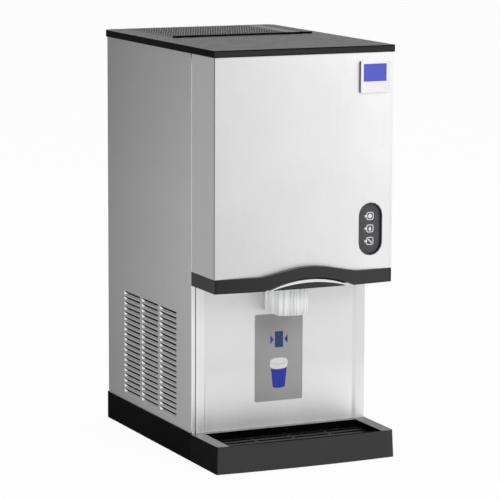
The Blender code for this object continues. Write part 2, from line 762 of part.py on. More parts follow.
def circle(centre, radius, sides=24):
    """Regular polygon on a circle."""
    turns = [math.tau * index / sides for index in range(sides)]
    return [(centre[0] + radius * math.cos(turn), centre[1] + radius * math.sin(turn))
            for turn in turns]


def pill(centre, width, height, steps=8):
    """Upright slot outline with round ends."""
    radius = width / 2
    rise = height / 2 - radius
    points = []
    for end in (1, -1):
        for step in range(steps + 1):
            turn = math.pi * step / steps
            points.append((centre[0] + end * radius * math.cos(turn),
                           centre[1] + end * (rise + radius * math.sin(turn))))
    return points


def d_outline(half, centre, back, steps=12):
    """D plan: a half circle at the front, straight sides and a straight back."""
    points = [(half, back)]
    for step in range(steps + 1):
        turn = math.pi * step / steps
        points.append((half * math.cos(turn), centre - half * math.sin(turn)))
    points.append((-half, back))
    return points


def bow_arc(half, rise, base, middle=0, steps=16):
    """Points along a circular arc over a chord, left to right."""
    radius = (half ** 2 + rise ** 2) / (2 * rise)
    reach = math.asin(half / radius)
    return [(middle + radius * math.sin(turn), base + rise - radius + radius * math.cos(turn))
            for turn in [reach * (2 * step / steps - 1) for step in range(steps + 1)]]


def bake(target):
    """Apply the object's modifiers to its mesh."""
    graph = bpy.context.evaluated_depsgraph_get()
    mesh = bpy.data.meshes.new_from_object(target.evaluated_get(graph))
    target.modifiers.clear()
    target.data = mesh
    return target


def combine(target, operands, operation, solver="EXACT"):
    """Boolean operations baked into the target; the operands are removed."""
    for operand in operands:
        step = target.modifiers.new(operation.lower(), "BOOLEAN")
        step.operation = operation
        step.solver = solver
        step.object = operand
    bake(target)
    for operand in operands:
        bpy.data.objects.remove(operand)
    return target


def fuse(target, *operands):
    """Union of shapes that cross."""
    return combine(target, operands, "UNION")


def common(target, *operands):
    """What the shapes share."""
    return combine(target, operands, "INTERSECT")


def cut(target, *cutters):
    """Live cuts, whose cutters stay as wires in their own collection."""
    for cutter in cutters:
        cutter.name = "cutter"
        cutter.hide_render = True
        cutter.display_type = "WIRE"
        step = target.modifiers.new("cut", "BOOLEAN")
        step.operation = "DIFFERENCE"
        step.object = cutter
    return target


def gather(shapes):
    """Shapes that stay apart, as one object of separate solids."""
    bm = bmesh.new()
    for shape in shapes:
        bm.from_mesh(shape.data)
        bpy.data.objects.remove(shape)
    return object_from(bm)


def soften(target, width, segments=2, angle=30):
    """Rounded edges."""
    bevel = target.modifiers.new("edges", "BEVEL")
    bevel.width = width
    bevel.segments = segments
    bevel.angle_limit = math.radians(angle)
    bevel.use_clamp_overlap = True
    return target


def part(shape, name, slot, smooth=False, pivot=None):
    """File a finished shape under its name, with its material and, if it moves, its pivot."""
    flat = shape.modifiers.new("flat faces", "DECIMATE")
    flat.decimate_type = "DISSOLVE"
    flat.angle_limit = math.radians(FLAT_DEGREES)
    CUTTERS.objects.unlink(shape)
    PARTS.objects.link(shape)
    shape.name = name
    shape.data.name = name
    shape.data.materials.clear()
    shape.data.materials.append(surface(slot))
    if smooth:
        shape.data.shade_smooth()
        shape.data.set_sharp_from_angle(angle=math.radians(35))
    if pivot is not None:
        shape.data.transform(Matrix.Translation(-Vector(pivot)))
        shape.location = pivot
    return shape


def foot_places():
    """Centres of the four feet."""
    half = BASE_HALF - FOOT_INSET
    return [(x, behind(y)) for x in (-half, half)
            for y in (BASE_FRONT + FOOT_INSET, BASE_BACK - FOOT_INSET)]


def base_outline(inset, front):
    """Plan of the base, drawn in by an inset, with the cabinet's round back corners."""
    half = BASE_HALF - inset
    radius = CABINET_CORNER + BASE_PROUD - inset
    return rectangle((-half, half), (behind(front), behind(BASE_BACK - inset)),
                     (0, 0, radius, radius), steps=5)


def base_pan():
    lip = BASE_PROUD - SEAT_GAP
    pan = plate([base_outline(0, BASE_FRONT)], FOOT_HEIGHT, BASE_HEIGHT)
    fuse(pan, gather([rod("Z", place, FOOT_RADIUS, 0, FOOT_HEIGHT + BASE_FLOOR / 2, sides=16)
                      for place in foot_places()]))
    cut(pan,
        plate([base_outline(BASE_WALL, BASE_FRONT + BASE_WALL)], BASE_FLOOR_TOP,
              BASE_HEIGHT + OVERRUN),
        plate([base_outline(lip, BASE_FRONT - OVERRUN)], BASE_LEDGE, BASE_HEIGHT + OVERRUN),
        rod("Y", (SPIGOT_X, SPIGOT_HEIGHT), SPIGOT_RADIUS + RUNNING_GAP,
            behind(BASE_FRONT - OVERRUN), behind(BASE_FRONT + BASE_WALL + OVERRUN)),
        rod("Y", (HOSE_X, SPIGOT_HEIGHT), FITTING_RADIUS + SEAT_GAP,
            behind(BASE_BACK - BASE_WALL - OVERRUN), behind(BASE_BACK + OVERRUN)))
    part(pan, "base_pan", "black_plastic")


def drip_tray():
    front = -TRAY_NOSE
    arc = [(x, behind(front - TRAY_BOW * (1 - (x / BASE_HALF) ** 2)))
           for x in [BASE_HALF * (step / 10 - 1) for step in range(1, 20)]]
    radius = [0] + [TRAY_CORNER] + [0] * len(arc) + [TRAY_CORNER] + [0]
    corners = [(-BASE_HALF, behind(TRAY_BACK)), (-BASE_HALF, behind(front))] + arc
    corners += [(BASE_HALF, behind(front)), (BASE_HALF, behind(TRAY_BACK))]
    outline = filleted(corners, radius, closed=True)
    tray = plate([outline], FOOT_HEIGHT, TRAY_HEIGHT)
    for vertex in tray.data.vertices:
        if vertex.co.z > BASE_HEIGHT / 2 and vertex.co.y < behind(0):
            vertex.co.y += TRAY_DRAFT
            vertex.co.x -= TRAY_SIDE_DRAFT * vertex.co.x / BASE_HALF
    ledge = WELL_HALF - GRILLE_LEDGE
    spigot = rod("Y", (SPIGOT_X, SPIGOT_HEIGHT), SPIGOT_RADIUS, behind(TRAY_BACK - OVERRUN),
                 behind(BASE_FRONT + BASE_WALL + SPIGOT_REACH))
    fuse(tray, spigot)
    cut(tray,
        block((-WELL_HALF, WELL_HALF), (behind(WELL_FRONT), behind(WELL_BACK)),
              (GRILLE_BASE - SEAT_GAP, TRAY_HEIGHT + OVERRUN)),
        block((-ledge, ledge), (behind(WELL_FRONT + GRILLE_LEDGE), behind(WELL_BACK - GRILLE_LEDGE)),
              (TRAY_FLOOR, TRAY_HEIGHT + OVERRUN)),
        rod("Y", (SPIGOT_X, SPIGOT_HEIGHT), SPIGOT_BORE,
            behind(WELL_BACK - GRILLE_LEDGE - OVERRUN),
            behind(BASE_FRONT + BASE_WALL + SPIGOT_REACH + OVERRUN), sides=16))
    part(tray, "drip_tray", "tray_plastic")


def drip_grille():
    half = WELL_HALF - RUNNING_GAP
    front = behind(WELL_FRONT + RUNNING_GAP)
    back = behind(WELL_BACK - RUNNING_GAP)
    row_pitch = (back - front - GRILLE_BORDER * 2 + GRILLE_RIB) / GRILLE_ROWS
    column_pitch = (half - GRILLE_BORDER) * 2 / GRILLE_COLUMNS
    holes = []
    for row in range(GRILLE_ROWS):
        middle = front + GRILLE_BORDER + (row + 0.5) * row_pitch - GRILLE_RIB / 2
        for column in range(GRILLE_COLUMNS):
            left = GRILLE_BORDER - half + column * column_pitch + GRILLE_RIB / 2
            holes.append(rectangle((left, left + column_pitch - GRILLE_RIB),
                                   (middle - GRILLE_SLOT_WIDTH / 2, middle + GRILLE_SLOT_WIDTH / 2)))
    grille = plate([rectangle((-half, half), (front, back))] + holes, GRILLE_BASE, GRILLE_TOP)
    part(grille, "drip_grille", "tray_plastic", pivot=(0, (front + back) / 2, GRILLE_BASE))


def splash_half():
    """Half width of the recess back panel, between the side panels' front returns."""
    return HALF_WIDTH - FRONT_RETURN - SEAM


def splash_panel():
    half = splash_half() - SHEET / 2
    band = behind(SPLASH_FACE - BAND_STEP + SHEET / 2)
    field = band + BAND_STEP
    step = half - BAND_WIDTH
    path = []
    for side in (-1, 1):
        run = [(side * half, band + SPLASH_FLANGE), (side * half, band),
               (side * (step + BAND_STEP), band), (side * step, field)]
        path += run if side < 0 else run[::-1]
    radii = [0, BEND, 0, 0, 0, 0, BEND, 0]
    panel = plate([folded(path, SHEET, radii)], PANEL_FOOT, SPLASH_TOP)
    window = SENSOR_WIDTH / 2 + SEAT_GAP
    cut(panel, block((-window, window), (behind(HOOD_OVERHANG - OVERRUN), behind(SPLASH_REAR + OVERRUN)),
                     (SENSOR_BOTTOM - SEAT_GAP, SENSOR_TOP + SEAT_GAP)))
    part(panel, "splash_panel", "front_steel")


def splash_label():
    window = SENSOR_WIDTH / 2 + SEAT_GAP
    loops = [rectangle((-LABEL_WIDTH / 2, LABEL_WIDTH / 2), (LABEL_BOTTOM, LABEL_TOP), LABEL_CORNER),
             rectangle((-window, window), (SENSOR_BOTTOM - SEAT_GAP, SENSOR_TOP + SEAT_GAP))]
    back = behind(SPLASH_FACE - SEAT_GAP)
    part(plate(loops, back - LABEL_THICKNESS, back, "XZ"), "splash_label", "label_grey")


def sensor():
    half = SENSOR_WIDTH / 2
    front = behind(SPLASH_FACE - SEAT_GAP - LABEL_THICKNESS)
    window = block((-half, half), (front, behind(SPLASH_REAR)), (SENSOR_BOTTOM, SENSOR_TOP))
    part(window, "sensor_window", "sensor_blue")
    wide = half + SENSOR_MARGIN
    seat = behind(SPLASH_REAR + SEAT_GAP)
    module = block((-wide, wide), (seat, seat + SENSOR_DEPTH / 3),
                   (SENSOR_BOTTOM - SENSOR_MARGIN, SENSOR_TOP + SENSOR_MARGIN))
    fuse(module, block((-half, half), (seat + SENSOR_DEPTH / 6, seat + SENSOR_DEPTH),
                       (SENSOR_BOTTOM, SENSOR_TOP)))
    part(module, "sensor_module", "black_plastic")


def rear_screw_places():
    """Centres of the screws that hold the rear panel, on the side panels' returns."""
    reach = HALF_WIDTH - CABINET_CORNER - REAR_RETURN / 2
    low = BASE_HEIGHT + SCREW_MARGIN
    high = CABINET_HEIGHT - CAP_HEIGHT - SCREW_MARGIN
    return [(side * reach, low + (high - low) * row / (SCREW_ROWS - 1))
            for side in (-1, 1) for row in range(SCREW_ROWS)]


def tapered_cell(side, setback, top, near, far, reach, drops):
    """Six-sided cell on a side panel: near and far half lengths, depth reached and heights."""
    bm = bmesh.new()
    bmesh.ops.create_cube(bm, size=1)
    for vertex in bm.verts:
        inner = vertex.co.x > 0
        depth = reach[1] if inner else reach[0]
        length = math.copysign(far if inner else near, vertex.co.y)
        drop = drops[0] if vertex.co.z > 0 else drops[2] if inner else drops[1]
        vertex.co = (side * (HALF_WIDTH - depth), behind(setback) + length, top - drop)
    return object_from(bm)


def louvre_places():
    """Middle setback and top of each louvre."""
    return [(LOUVRE_FIRST_SETBACK + LOUVRE_LENGTH / 2 + column * LOUVRE_COLUMN_PITCH,
             LOUVRE_TOP - row * LOUVRE_PITCH)
            for column in range(LOUVRE_COLUMNS) for row in range(LOUVRE_ROWS)]


def louvred_side_panel(side, name):
    """Bent sheet with a front and a rear return, and louvres drawn inwards."""
    outer = HALF_WIDTH - SHEET / 2
    front = behind(HOOD_OVERHANG + SHEET / 2)
    back = behind(CABINET_DEPTH - SHEET / 2)
    path = [(side * (HALF_WIDTH - FRONT_RETURN), front), (side * outer, front), (side * outer, back),
            (side * (HALF_WIDTH - CABINET_CORNER - REAR_RETURN), back)]
    radii = [0, BEND + SHEET / 2, CABINET_CORNER - SHEET / 2, 0]
    panel = plate([folded(path, SHEET, radii, steps=5)], PANEL_FOOT, PANEL_TOP)
    near = LOUVRE_LENGTH / 2
    far = near - LOUVRE_END
    low = LOUVRE_SLOT + LOUVRE_BLADE
    outside = SEAT_GAP / LOUVRE_DEPTH
    scoops = [tapered_cell(side, setback, top, near + SHEET / 2, far + SHEET,
                           (SHEET / 2, LOUVRE_DEPTH + SHEET),
                           (LOUVRE_SLOT + SEAT_GAP, low + SHEET / 2, LOUVRE_SLOT + SHEET))
              for setback, top in louvre_places()]
    openings = [tapered_cell(side, setback, top, near + LOUVRE_END * outside, far,
                             (-SEAT_GAP, LOUVRE_DEPTH),
                             (0, low + LOUVRE_BLADE * outside, LOUVRE_SLOT))
                for setback, top in louvre_places()]
    fuse(panel, gather(scoops))
    cut(panel, gather(openings), gather([rod("Y", place, SCREW_SHANK_RADIUS + SEAT_GAP, back - SHEET - OVERRUN,
                           back + SHEET + OVERRUN, sides=8)
                       for place in rear_screw_places() if place[0] * side > 0]))
    part(panel, name, "steel")


def rear_panel():
    half = HALF_WIDTH - CABINET_CORNER - SEAM
    front = behind(CABINET_DEPTH + SEAT_GAP)
    panel = block((-half, half), (front, front + SHEET),
                  (BASE_HEIGHT + SEAM, CABINET_HEIGHT - CAP_HEIGHT - SEAM))
    through = (front - OVERRUN, front + SHEET + OVERRUN)
    fuse(panel, gather([panel_screw(place, front + SHEET) for place in rear_screw_places()]))
    cut(panel,
        rod("Y", (INLET_X, INLET_Z), FITTING_RADIUS + SEAT_GAP, *through),
        rod("Y", (GLAND_X, GLAND_Z), GLAND_RADIUS + SEAT_GAP, *through))
    part(panel, "rear_panel", "galvanised")


def panel_screw(place, face):
    """Screw through the rear panel and a side panel's return."""
    top = SCREW_HEAD_HEIGHT
    profile = [(0, top), (SCREW_HEAD_RADIUS * 0.7, top), (SCREW_HEAD_RADIUS, -SHEET / 3),
               (SCREW_SHANK_RADIUS, -SHEET / 3), (SCREW_SHANK_RADIUS, -SCREW_LENGTH), (0, -SCREW_LENGTH)]
    return turned([(radius, height + face) for radius, height in profile], place, "Y", steps=8)


def hood_wing(side, name):
    outer = HALF_WIDTH - SHEET / 2
    back = behind(WING_BACK) - SHEET / 2
    path = [(side * outer, behind(0)), (side * outer, back),
            (side * (HALF_WIDTH - FRONT_RETURN), back)]
    wing = plate([folded(path, SHEET, [0, BEND + SHEET / 2, 0])], TRIM_TOP, PANEL_TOP)
    part(wing, name, "steel")


def wave(x):
    """Height of the trim's upper edge."""
    if abs(x - ARCH_X) >= WAVE_HALF:
        return TRIM_TOP
    swell = 0.5 + 0.5 * math.cos(math.pi * (x - ARCH_X) / WAVE_HALF)
    return TRIM_TOP + WAVE_RISE * swell ** WAVE_SHAPE_SHARE


def wave_points(half, lift, steps=28):
    """Points along the wave, right to left, with its start and end among them."""
    across = [ARCH_X + WAVE_HALF * (1 - 2 * step / steps) for step in range(steps + 1)]
    across = [half] + across + [-half]
    return [(x, wave(x) + lift) for x in across]


def front_panel():
    seam = SEAT_GAP + SEAT_GAP / 3
    hole = pill((POD_X, POD_Z), POD_WIDTH, POD_HEIGHT)
    outline = wave_points(TRIM_HALF, seam) + [(-TRIM_HALF, PANEL_TOP), (TRIM_HALF, PANEL_TOP)]
    panel = plate([outline, hole], behind(0), behind(PANEL_DEPTH), "XZ")
    inner = TRIM_HALF - SHEET
    hollow = wave_points(inner, seam + SHEET) + [(-inner, PANEL_TOP - SHEET), (inner, PANEL_TOP - SHEET)]
    cut(panel, plate([hollow], behind(SHEET), behind(PANEL_DEPTH + OVERRUN), "XZ"))
    part(panel, "front_panel", "front_steel")


def arch_points(inset):
    """Arch in the trim's lower edge, left to right, widened by an inset."""
    radius = (ARCH_HALF ** 2 + ARCH_RISE ** 2) / (2 * ARCH_RISE)
    centre = TRIM_BOTTOM + ARCH_RISE - radius
    wide = radius + inset
    half = math.sqrt(wide ** 2 - (radius - ARCH_RISE + inset) ** 2)
    reach = math.asin(half / wide)
    steps = 18
    return [(ARCH_X + wide * math.sin(turn), centre + wide * math.cos(turn))
            for turn in [reach * (2 * step / steps - 1) for step in range(steps + 1)]]


def bow_plan(inset, half, back, steps=18):
    """Plan of the trim: a bowed front and a straight back."""
    front = [(half * (2 * step / steps - 1),
              behind(inset - TRIM_BOW * (1 - (2 * step / steps - 1) ** 2)))
             for step in range(steps + 1)]
    return front + [(half, back), (-half, back)]


def bowed(loops, inset, half, back):
    """Front-view outline with the trim's bowed front."""
    low = behind(-TRIM_BOW - OVERRUN)
    solid = plate(loops, low, back, "XZ")
    return common(solid, plate([bow_plan(inset, half, back + OVERRUN)], TRIM_BOTTOM - OVERRUN,
                               TRIM_TOP + WAVE_RISE + OVERRUN))


def trim_outline(inset):
    """Front view of the trim, drawn in by an inset."""
    half = TRIM_HALF - inset
    foot = TRIM_BOTTOM + inset
    return [(-half, foot)] + arch_points(inset) + [(half, foot)] + wave_points(half, -inset)


def front_trim():
    trim = bowed([trim_outline(0)], 0, TRIM_HALF, behind(TRIM_DEPTH))
    cut(trim, bowed([trim_outline(TRIM_WALL)], TRIM_WALL, TRIM_HALF - TRIM_WALL / 2,
                    behind(TRIM_DEPTH + OVERRUN)))
    part(trim, "front_trim", "trim_plastic")


def accent_outlines():
    """Strip along the arch, and the crescent under it."""
    foot = TRIM_BOTTOM + CRESCENT_FOOT
    top = bow_arc(ACCENT_HALF, ACCENT_PEAK, foot, ARCH_X)
    rise = ACCENT_PEAK - ACCENT_CROWN
    under = bow_arc(ACCENT_HALF - ACCENT_END, rise, foot, ARCH_X)
    lens = bow_arc(ACCENT_HALF - ACCENT_END * 1.5, rise - SEAT_GAP * 1.5, foot, ARCH_X)
    return top + under[::-1], lens


def accents():
    strip, lens = accent_outlines()
    part(bowed([strip], 0, TRIM_HALF, behind(TRIM_DEPTH)), "accent_strip", "silver_plastic")
    plate_front = behind(TRIM_DEPTH + SEAT_GAP)
    crescent = bowed([lens], 0, TRIM_HALF, plate_front + CRESCENT_PLATE / 2)
    edge = arch_points(TRIM_WALL)
    fuse(crescent, plate([edge], plate_front, plate_front + CRESCENT_PLATE, "XZ"))
    part(crescent, "crescent_insert", "trim_plastic")


def side_trim(side, name):
    outer = HALF_WIDTH - TRIM_WALL / 2
    foot = TRIM_BOTTOM + TRIM_WALL / 2
    path = [(side * outer, TRIM_TOP - SEAT_GAP), (side * outer, foot),
            (side * (HALF_WIDTH - TRIM_FLANGE), foot)]
    trim = plate([folded(path, TRIM_WALL, 0)], behind(0), behind(WING_BACK), "XZ")
    inner = sorted((side * (HALF_WIDTH - TRIM_WALL), side * (HALF_WIDTH - TRIM_FLANGE - OVERRUN)))
    cut(trim, block(inner, (behind(-OVERRUN), behind(PANEL_DEPTH + SEAT_GAP)),
                    (TRIM_BOTTOM - OVERRUN, FLOOR_Z + OVERRUN)))
    part(trim, name, "trim_plastic")


def control_pod():
    back = behind(POD_DEPTH)
    clear = SEAT_GAP * 2
    centre = (POD_X, POD_Z)
    pod = plate([pill(centre, POD_WIDTH - clear, POD_HEIGHT - clear)], behind(-POD_PROUD), back, "XZ")
    flange = pill(centre, POD_WIDTH + POD_FLANGE, POD_HEIGHT + POD_FLANGE)
    seat = behind(SHEET + SEAT_GAP)
    fuse(pod, plate([flange], seat, seat + POD_WALL, "XZ"))
    well = (POD_WIDTH - clear - POD_WALL * 2, POD_HEIGHT - clear - POD_WALL * 2)
    cut(pod, plate([pill(centre, *well)], behind(-POD_PROUD - OVERRUN), behind(POD_RECESS), "XZ"))
    part(pod, "control_pod", "pod_grey")
    face = behind(POD_RECESS - SEAT_GAP)
    lamps = [(POD_X - LAMP_OFFSET, POD_Z + LAMP_PITCH * row) for row in (-1, 0, 1)]
    overlay = plate([pill(centre, well[0] - clear, well[1] - clear)], face - OVERLAY_THICKNESS, face, "XZ")
    lights = [rod("Y", place, LAMP_RADIUS, face - OVERLAY_THICKNESS - LAMP_PROUD,
                  face - OVERLAY_THICKNESS / 2, sides=12) for place in lamps]
    part(fuse(overlay, gather(lights)), "control_overlay", "pod_grey")


def badge():
    x = (BADGE_X - BADGE_WIDTH / 2, BADGE_X + BADGE_WIDTH / 2)
    z = (BADGE_Z - BADGE_HEIGHT / 2, BADGE_Z + BADGE_HEIGHT / 2)
    front = behind(-BADGE_DEPTH)
    plaque = plate([rectangle(x, z, BADGE_CORNER)], front, behind(-SEAT_GAP), "XZ")
    field = rectangle((x[0] + BADGE_RIM, x[1] - BADGE_RIM), (z[0] + BADGE_RIM, z[1] - BADGE_RIM),
                      BADGE_CORNER / 2)
    cut(plaque, plate([field], front - OVERRUN, front + BADGE_POCKET, "XZ"))
    part(plaque, "badge", "badge_white")


def cap_outline(inset, front):
    """Plan of the cap, drawn in by an inset."""
    half = HALF_WIDTH + CAP_OVERHANG - inset
    back = CABINET_CORNER + CAP_OVERHANG - inset
    return rectangle((-half, half), (behind(front), behind(CABINET_DEPTH + CAP_OVERHANG - inset)),
                     (CAP_FRONT_CORNER, CAP_FRONT_CORNER, back, back), steps=5)


def intake_outline(inset):
    """Plan of the intake opening, drawn in by an inset."""
    return rectangle((inset - INTAKE_LEFT, INTAKE_RIGHT - inset),
                     (behind(INTAKE_FRONT + inset), behind(INTAKE_BACK - inset)), BEND)


def top_cover():
    skirt = CAP_OVERHANG - SEAT_GAP
    seat = CABINET_HEIGHT - CAP_TOP
    cover = plate([cap_outline(0, -CAP_OVERHANG)], CABINET_HEIGHT - CAP_HEIGHT, CABINET_HEIGHT)
    hollow = rectangle((-HALF_WIDTH - SEAT_GAP, HALF_WIDTH + SEAT_GAP),
                       (behind(-SEAT_GAP), behind(CABINET_DEPTH + SEAT_GAP)),
                       (0, 0, CABINET_CORNER + SEAT_GAP, CABINET_CORNER + SEAT_GAP), steps=5)
    combine(cover, [plate([hollow], CABINET_HEIGHT - CAP_HEIGHT - OVERRUN, seat)], "DIFFERENCE")
    fuse(cover, plate([intake_outline(-skirt)], seat - INTAKE_LEDGE_THICKNESS, seat + CAP_TOP / 2))
    scoop = (NOTCH_HALF_WIDTH, NOTCH_REACH, NOTCH_DEPTH)
    notches = [ball((x, behind(INTAKE_FRONT), CABINET_HEIGHT), scoop) for x in NOTCH_PLACES]
    cut(cover,
        plate([intake_outline(0)], seat, CABINET_HEIGHT + OVERRUN),
        plate([intake_outline(INTAKE_LEDGE)], seat - INTAKE_LEDGE_THICKNESS - OVERRUN,
              CABINET_HEIGHT + OVERRUN),
        *notches)
    part(cover, "top_cover", "cap_plastic")


def intake_grille():
    front = behind(INTAKE_FRONT) + INTAKE_FIELD_MARGIN
    back = behind(INTAKE_BACK) - INTAKE_FIELD_MARGIN
    wide = INTAKE_FIELD_HALF * 2 / INTAKE_COLUMNS
    pitch = (back - front) / INTAKE_ROWS
    holes = []
    for row in range(INTAKE_ROWS):
        for column in range(INTAKE_COLUMNS):
            x = column * wide + INTAKE_BAR / 2 - INTAKE_FIELD_HALF
            y = front + row * pitch + INTAKE_BAR / 2
            holes.append(rectangle((x, x + wide - INTAKE_BAR), (y, y + pitch - INTAKE_BAR)))
    grille = plate([intake_outline(RUNNING_GAP)] + holes, INTAKE_SEAT, CABINET_HEIGHT)
    lip = block((RUNNING_GAP * 2 - INTAKE_LEFT, INTAKE_RIGHT - RUNNING_GAP * 2),
                (behind(INTAKE_FRONT + RUNNING_GAP * 2), behind(INTAKE_FRONT) + INTAKE_LIP_DEPTH),
                (INTAKE_SEAT + CAP_TOP / 3, CABINET_HEIGHT + INTAKE_LIP_RISE))
    combine(grille, [lip], "UNION", "MANIFOLD")
    part(grille, "intake_grille", "grille_plastic",
         pivot=(0, (behind(INTAKE_FRONT) + behind(INTAKE_BACK)) / 2, INTAKE_SEAT))


def fluted_outline(half, centre, back, count, depth):
    """D plan whose edge runs in flutes from one back corner to the other."""
    straight = back - centre
    length = straight * 2 + math.pi * half
    points = []
    for step in range(count * 2 + 1):
        place = length * step / (count * 2)
        swell = -depth * (step % 2)
        reach = half + swell
        if place < straight:
            points.append((reach, back - place))
        elif place > length - straight:
            points.append((-reach, back - (length - place)))
        else:
            turn = (place - straight) / half
            points.append((reach * math.cos(turn), centre - reach * math.sin(turn)))
    return points


def nozzle():
    centre = behind(NOZZLE_CENTRE)
    back = behind(NOZZLE_BACK)
    top = FLOOR_Z - SEAT_GAP
    outer = fluted_outline(NOZZLE_HALF, centre, back, FLUTE_COUNT, FLUTE_DEPTH)
    body = plate([outer], NOZZLE_BOTTOM, top - NOZZLE_FLANGE_THICKNESS / 2)
    flange = d_outline(NOZZLE_HALF + NOZZLE_FLANGE, centre, back + OVERRUN / 4)
    fuse(body, plate([flange], top - NOZZLE_FLANGE_THICKNESS, top))
    inner = d_outline(NOZZLE_HALF - NOZZLE_WALL, centre, back - NOZZLE_WALL)
    cut(body, plate([inner], NOZZLE_BOTTOM - OVERRUN, top + OVERRUN))
    part(body, "nozzle", "clear_plastic")


def chute_outline(inset):
    """Plan of the chute, drawn in by an inset."""
    return d_outline(CHUTE_HALF - inset, behind(NOZZLE_CENTRE), behind(CHUTE_BACK) - inset)


def hood_floor():
    wide = HALF_WIDTH - TRIM_WALL - SEAT_GAP
    narrow = splash_half()
    step = behind(WING_BACK)
    front = behind(PANEL_DEPTH + RUNNING_GAP)
    back = behind(POST_FRONT - SEAT_GAP)
    right = [(wide, front), (wide, step), (narrow, step), (narrow, back)]
    outline = right + [(-x, y) for x, y in right[::-1]]
    part(plate([outline, chute_outline(-SEAT_GAP)], FLOOR_Z, FLOOR_TOP), "hood_floor", "galvanised")


def dispense_chute():
    chute = plate([chute_outline(0)], FLOOR_Z - CHUTE_DROP, CHUTE_TOP)
    fuse(chute, plate([chute_outline(-CHUTE_FLANGE)], CHUTE_TOP - CHUTE_WALL, CHUTE_TOP + SEAT_GAP / 2))
    cut(chute,
        plate([chute_outline(CHUTE_WALL)], FLOOR_Z - CHUTE_DROP - OVERRUN, CHUTE_TOP + OVERRUN),
        rod("X", (behind(GATE_PIN_SETBACK), GATE_Z), GATE_PIN_RADIUS + RUNNING_GAP,
            -CHUTE_HALF - OVERRUN, CHUTE_HALF + OVERRUN, sides=16))
    part(chute, "dispense_chute", "white_plastic")


def dispense_gate():
    pivot = (0, behind(GATE_PIN_SETBACK), GATE_Z)
    half = GATE_THICKNESS / 2
    flap = plate([d_outline(GATE_HALF, behind(NOZZLE_CENTRE), pivot[1])], GATE_Z - half, GATE_Z + half)
    lever_end = (behind(PIN_SETBACK), PIN_HIGH)
    outline = folded([pivot[1:], lever_end], LEVER_HALF_WIDTH * 2, 0)
    fuse(flap,
         rod("X", pivot[1:], GATE_PIN_RADIUS, -CHUTE_HALF - OVERRUN, LEVER_X + LEVER_THICKNESS / 2,
             sides=16),
         plate([outline], LEVER_X, LEVER_X + LEVER_THICKNESS, "YZ"),
         rod("X", pivot[1:], LEVER_HALF_WIDTH * 1.1, LEVER_X, LEVER_X + LEVER_THICKNESS * 1.1, sides=16),
         rod("X", lever_end, LEVER_PIN_RADIUS, LEVER_X + LEVER_THICKNESS / 2,
             PLUNGER_X + HEAD_THICKNESS, sides=12))
    part(flap, "dispense_gate", "white_plastic", pivot=pivot)


def solenoid():
    bore = PLUNGER_RADIUS + RUNNING_GAP
    top = CRADLE_PLATE_Z - SEAT_GAP
    body = block((PLUNGER_X - SOLENOID_HALF, PLUNGER_X + SOLENOID_HALF),
                 (behind(SOLENOID_SETBACK), behind(SOLENOID_SETBACK + SOLENOID_LENGTH)),
                 (PLUNGER_Z - SOLENOID_BELOW, top))
    cut(body, rod("Y", (PLUNGER_X, PLUNGER_Z), bore, behind(SOLENOID_SETBACK - OVERRUN),
                  behind(SOLENOID_SETBACK + SOLENOID_LENGTH - OVERRUN)))
    part(body, "gate_solenoid", "motor_black")
    play = LEVER_PIN_RADIUS + HEAD_SLOT_PLAY
    pin_y = behind(PIN_SETBACK)
    slot = rectangle((pin_y - play, pin_y + play), (PIN_LOW - play, PIN_HIGH + play), play / 2, 2)
    margin = play + HEAD_MARGIN
    edge = rectangle((pin_y - margin, pin_y + margin), (PIN_LOW - margin, PIN_HIGH + margin),
                     HEAD_MARGIN / 2, 2)
    head = plate([edge, slot], PLUNGER_X - HEAD_THICKNESS / 2, PLUNGER_X + HEAD_THICKNESS / 2, "YZ")
    fuse(head, rod("Y", (PLUNGER_X, PLUNGER_Z), PLUNGER_RADIUS, pin_y + play + HEAD_MARGIN / 2,
                   behind(SOLENOID_SETBACK + PLUNGER_ENTRY)))
    part(head, "solenoid_plunger", "bright_steel", pivot=(PLUNGER_X, pin_y, PLUNGER_Z))


def bin_cradle():
    half = CRADLE_HALF - SHEET / 2
    foot = FLOOR_TOP + SEAT_GAP
    top = CRADLE_PLATE_Z + SHEET / 2
    path = [(-half, foot), (-half, top), (half, top), (half, foot)]
    radii = [0, BEND, BEND, 0]
    cradle = plate([folded(path, SHEET, radii)], behind(CRADLE_FRONT), behind(CRADLE_BACK), "XZ")
    through = (CRADLE_PLATE_Z - OVERRUN, CRADLE_PLATE_Z + SHEET + OVERRUN)
    cut(cradle,
        plate([chute_outline(CHUTE_WALL)], *through),
        rod("Z", (0, behind(AGITATOR_SETBACK)), SHAFT_RADIUS + RUNNING_GAP, *through))
    part(cradle, "bin_cradle", "galvanised")


def bin_outline(inset):
    """Plan of the bin, drawn in by an inset."""
    half = BIN_HALF - inset
    return rectangle((-half, half), (behind(BIN_FRONT + inset), behind(BIN_BACK - inset)),
                     BIN_CORNER - inset, steps=5)


def ice_bin():
    store = plate([bin_outline(0)], BIN_BASE, BIN_TOP)
    drop = d_outline(DROP_HALF, behind(NOZZLE_CENTRE), behind(NOZZLE_CENTRE) + DROP_HALF)
    cut(store,
        plate([bin_outline(BIN_WALL)], BIN_FLOOR_TOP, BIN_TOP + OVERRUN),
        plate([drop], BIN_BASE - OVERRUN, BIN_FLOOR_TOP + OVERRUN),
        rod("Z", (0, behind(AGITATOR_SETBACK)), SHAFT_RADIUS + RUNNING_GAP, BIN_BASE - OVERRUN,
            BIN_FLOOR_TOP + OVERRUN),
        rod("Y", (MAKER_X, ICE_TUBE_TOP), ICE_TUBE_RADIUS + SEAT_GAP,
            behind(BIN_BACK - BIN_WALL - OVERRUN), behind(BIN_BACK + OVERRUN)))
    part(store, "ice_bin", "foam_white")


